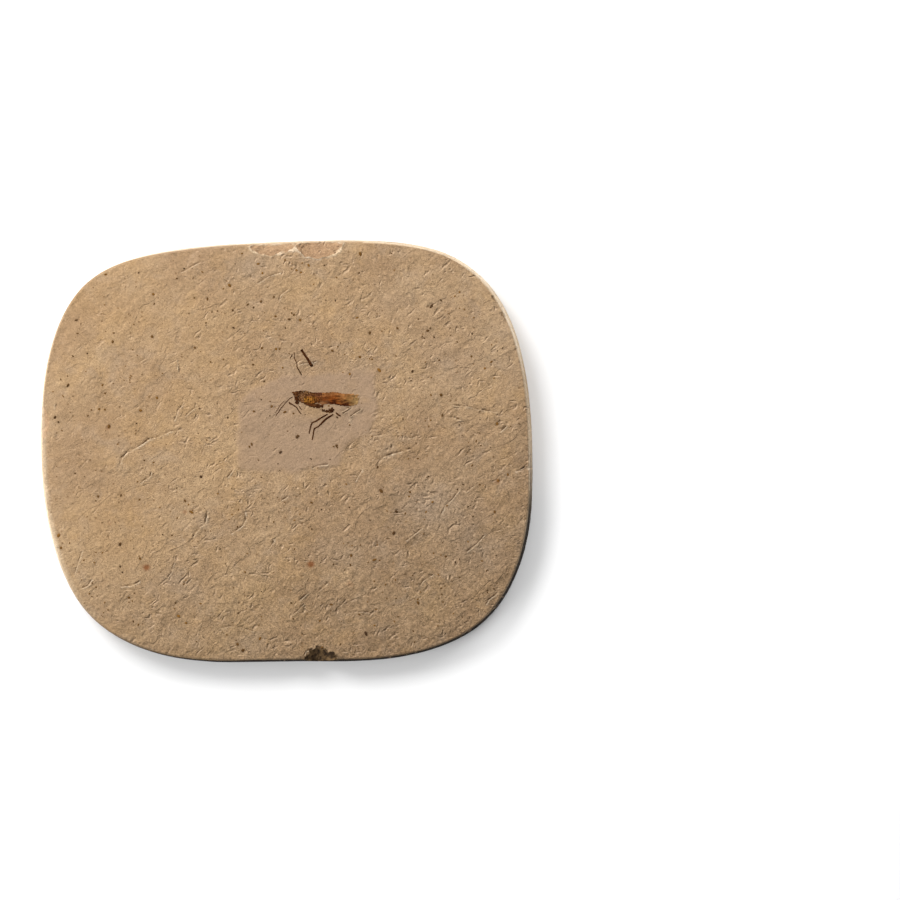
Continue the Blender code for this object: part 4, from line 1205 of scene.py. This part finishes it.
# Sweeps a ring along the path at the path's own radius, crumples it and closes its ends
def limbTree():
    tree, given = startTree("pressedLimb", {
        "Step": "Float", "Crumple": "Float", "Crumple size": "Float", "Sides": "Int"})
    path = addNode(tree, "GeometryNodeResampleCurve", {"Curve": given["Geometry"], "Length": given["Step"]},
                   mode="LENGTH")
    ring = addNode(tree, "GeometryNodeCurvePrimitiveCircle", {"Resolution": given["Sides"], "Radius": 1.0})
    limb = addNode(tree, "GeometryNodeCurveToMesh", {
        "Curve": path.outputs["Curve"], "Profile Curve": ring.outputs["Curve"],
        "Scale": addNode(tree, "GeometryNodeInputRadius").outputs["Radius"], "Fill Caps": True})
    grain = addNode(tree, "ShaderNodeMath", {0: 1.0, 1: given["Crumple size"]}, operation="DIVIDE")
    waves = addNode(tree, "ShaderNodeTexNoise", {
        "Vector": addNode(tree, "GeometryNodeInputPosition").outputs["Position"],
        "Scale": grain.outputs["Value"], "Detail": 2.0})
    centred = addNode(tree, "ShaderNodeVectorMath", {0: waves.outputs["Color"], 1: (0.5, 0.5, 0.5)},
                      operation="SUBTRACT")
    amount = addNode(tree, "ShaderNodeMath", {0: given["Crumple"], 1: 2.0}, operation="MULTIPLY")
    offset = addNode(tree, "ShaderNodeVectorMath", {
        0: centred.outputs["Vector"], "Scale": amount.outputs["Value"]}, operation="SCALE")
    moved = addNode(tree, "GeometryNodeSetPosition", {
        "Geometry": limb.outputs["Mesh"], "Offset": offset.outputs["Vector"]})
    return endTree(tree, moved.outputs["Geometry"], given["Material"])


def growTree(name, source, tree, values):  # runs a Geometry Nodes tree on a source and keeps the plain mesh
    bpy.context.scene.collection.objects.link(source)
    modifier = source.modifiers.new("grow", "NODES")
    modifier.node_group = tree
    sockets = {item.name: item.identifier for item in tree.interface.items_tree if item.in_out == "INPUT"}
    for label, value in values.items():
        modifier[sockets[label]] = value
    evaluated = source.evaluated_get(bpy.context.evaluated_depsgraph_get())
    mesh = bpy.data.meshes.new_from_object(evaluated)
    bpy.data.objects.remove(source)
    mesh.name = name
    thing = bpy.data.objects.new(name, mesh)
    bpy.context.scene.collection.objects.link(thing)
    return thing


def limbSource(name, route):
    places = np.array(route) * mm
    steps = np.concatenate(([0], np.cumsum(np.hypot(*np.diff(places[:, :2], axis=0).T))))
    paces = np.linspace(0, steps[-1], int(steps[-1] / (limbLook["step"] * mm)) + 2)
    x, y, radius = (np.interp(paces, steps, column) for column in places.T)
    z = faceHeight(x, y)[0] - limbLook["sunk"] * radius
    curve = bpy.data.curves.new(name, "CURVE")
    curve.dimensions = "3D"
    spline = curve.splines.new("POLY")
    spline.points.add(len(x) - 1)
    for point, *place in zip(spline.points, x, y, z, radius):
        point.co = (*place[:3], 1)
        point.radius = place[3]
    return bpy.data.objects.new(name, curve)


def makeLimb(name, route, tree):
    values = {"Step": limbLook["step"] * mm, "Sides": limbLook["sides"], "Crumple": limbLook["crumple"] * mm,
              "Crumple size": limbLook["crumpleSize"] * mm, "Material": cuticle["dark"]}
    limb = growTree(name + "Limb", limbSource(name, route), tree, values)
    bm = bmesh.new()
    bm.from_mesh(limb.data)
    bmesh.ops.remove_doubles(bm, verts=bm.verts, dist=limbLook["weld"] * mm)
    bmesh.ops.recalc_face_normals(bm, faces=bm.faces)
    bm.to_mesh(limb.data)
    bm.free()
    xs = np.array([vert.co.x for vert in limb.data.vertices])
    storeValue(limb.data, "along", (xs - xs.min()) / (xs.max() - xs.min()))
    storeValue(limb.data, "across", np.full(len(xs), limbLook["across"]))
    storeValue(limb.data, "inner", np.full(len(xs), limbLook["inner"]))
    limb.data.polygons.foreach_set("use_smooth", np.ones(len(limb.data.polygons), bool))
    return limb


sweep = limbTree()
for name, route in limbs.items():
    limb = makeLimb(name, route, sweep)
    finishPiece(limb, cuticle["dark"], "dark_fossil", name)
print("limbs:", len(limbs))


# Iron specks in the stone: the open pits' own, and many finer ones over the face

specks = {
    "fineCount": 520, "fineRadius": (0.13, 0.4), "fineWithin": 0.97, "seed": 11,
    "squash": 0.45, "pitShare": 1.25,  # height for width, and width for the pit's radius
    "tilt": (0.5, 0.5, 6.28), "stretch": ((0.8, 0.6, 0.9), (1.6, 1, 1.1)),  # at most, and from least to most
    "tones": ("38230e", "6c491b"), "toneFrom": (0.38, 0.62), "toneSize": 7,
    "roughness": 0.85, "specular": 0.2,
}


# Puts a squashed, turned and stretched grain on each point, as large as the point says
def speckTree():
    tree, given = startTree("ironSpecks", {"Squash": "Float", "Seed": "Int"})
    grain = addNode(tree, "GeometryNodeMeshIcoSphere", {"Radius": 1.0, "Subdivisions": 1})
    turn = addNode(tree, "FunctionNodeRandomValue", {0: (0, 0, 0), 1: specks["tilt"], "Seed": given["Seed"]},
                   data_type="FLOAT_VECTOR")
    radius = addNode(tree, "GeometryNodeInputNamedAttribute", {"Name": "size"}, data_type="FLOAT")
    low, high = specks["stretch"]
    stretch = addNode(tree, "FunctionNodeRandomValue", {0: low, 1: high, "Seed": given["Seed"]},
                      data_type="FLOAT_VECTOR")
    flat = addNode(tree, "ShaderNodeCombineXYZ", {"X": 1.0, "Y": 1.0, "Z": given["Squash"]})
    shape = addNode(tree, "ShaderNodeVectorMath", {0: stretch.outputs[0], 1: flat.outputs["Vector"]},
                    operation="MULTIPLY")
    scale = addNode(tree, "ShaderNodeVectorMath", {0: shape.outputs["Vector"], "Scale": radius.outputs[0]},
                    operation="SCALE")
    placed = addNode(tree, "GeometryNodeInstanceOnPoints", {
        "Points": given["Geometry"], "Instance": grain.outputs["Mesh"], "Rotation": turn.outputs[0],
        "Scale": scale.outputs["Vector"]})
    return endTree(tree, placed.outputs["Instances"], given["Material"])


# Limonite: earthy brown iron oxide, dull, darker and redder from grain to grain
def limoniteMaterial():
    material, tree, shader = newMaterial("limonite", specks)
    place = addNode(tree, "ShaderNodeTexCoord").outputs["Object"]
    tone = addNode(tree, "ShaderNodeTexNoise", {
        "Vector": place, "Scale": size(specks["toneSize"]), "Detail": 4})
    ramp = addNode(tree, "ShaderNodeValToRGB", {"Fac": tone.outputs["Fac"]})
    for element, start, code in zip(ramp.color_ramp.elements, specks["toneFrom"], specks["tones"]):
        element.position = start
        element.color = hexColour(code)
    tree.links.new(ramp.outputs["Color"], shader.inputs["Base Color"])
    return material


def speckSource():
    chance = np.random.default_rng(specks["seed"])
    u, v = chance.uniform(-specks["fineWithin"], specks["fineWithin"], (2, specks["fineCount"]))
    x, y = facePlace(u, v)
    radius = chance.uniform(*specks["fineRadius"], specks["fineCount"])
    pits = np.array([(*fromPhoto((px, py)), specks["pitShare"] * radius) for px, py, radius in ironPits])
    x = np.concatenate((x, pits[:, 0]))
    y = np.concatenate((y, pits[:, 1]))
    radius = np.concatenate((radius, pits[:, 2]))
    z = faceHeight(x, y)[0]
    mesh = bpy.data.meshes.new("speckPlaces")
    mesh.from_pydata(np.stack((x, y, z), axis=1).tolist(), [], [])
    storeValue(mesh, "size", radius * mm)
    return bpy.data.objects.new("speckPlaces", mesh)


ironSpecks = growTree("ironSpecks", speckSource(), speckTree(),
                      {"Squash": specks["squash"], "Seed": specks["seed"]})
finishPiece(ironSpecks, limoniteMaterial(), "dark_fossil")
print("specks:", len(ironSpecks.data.polygons), "faces")
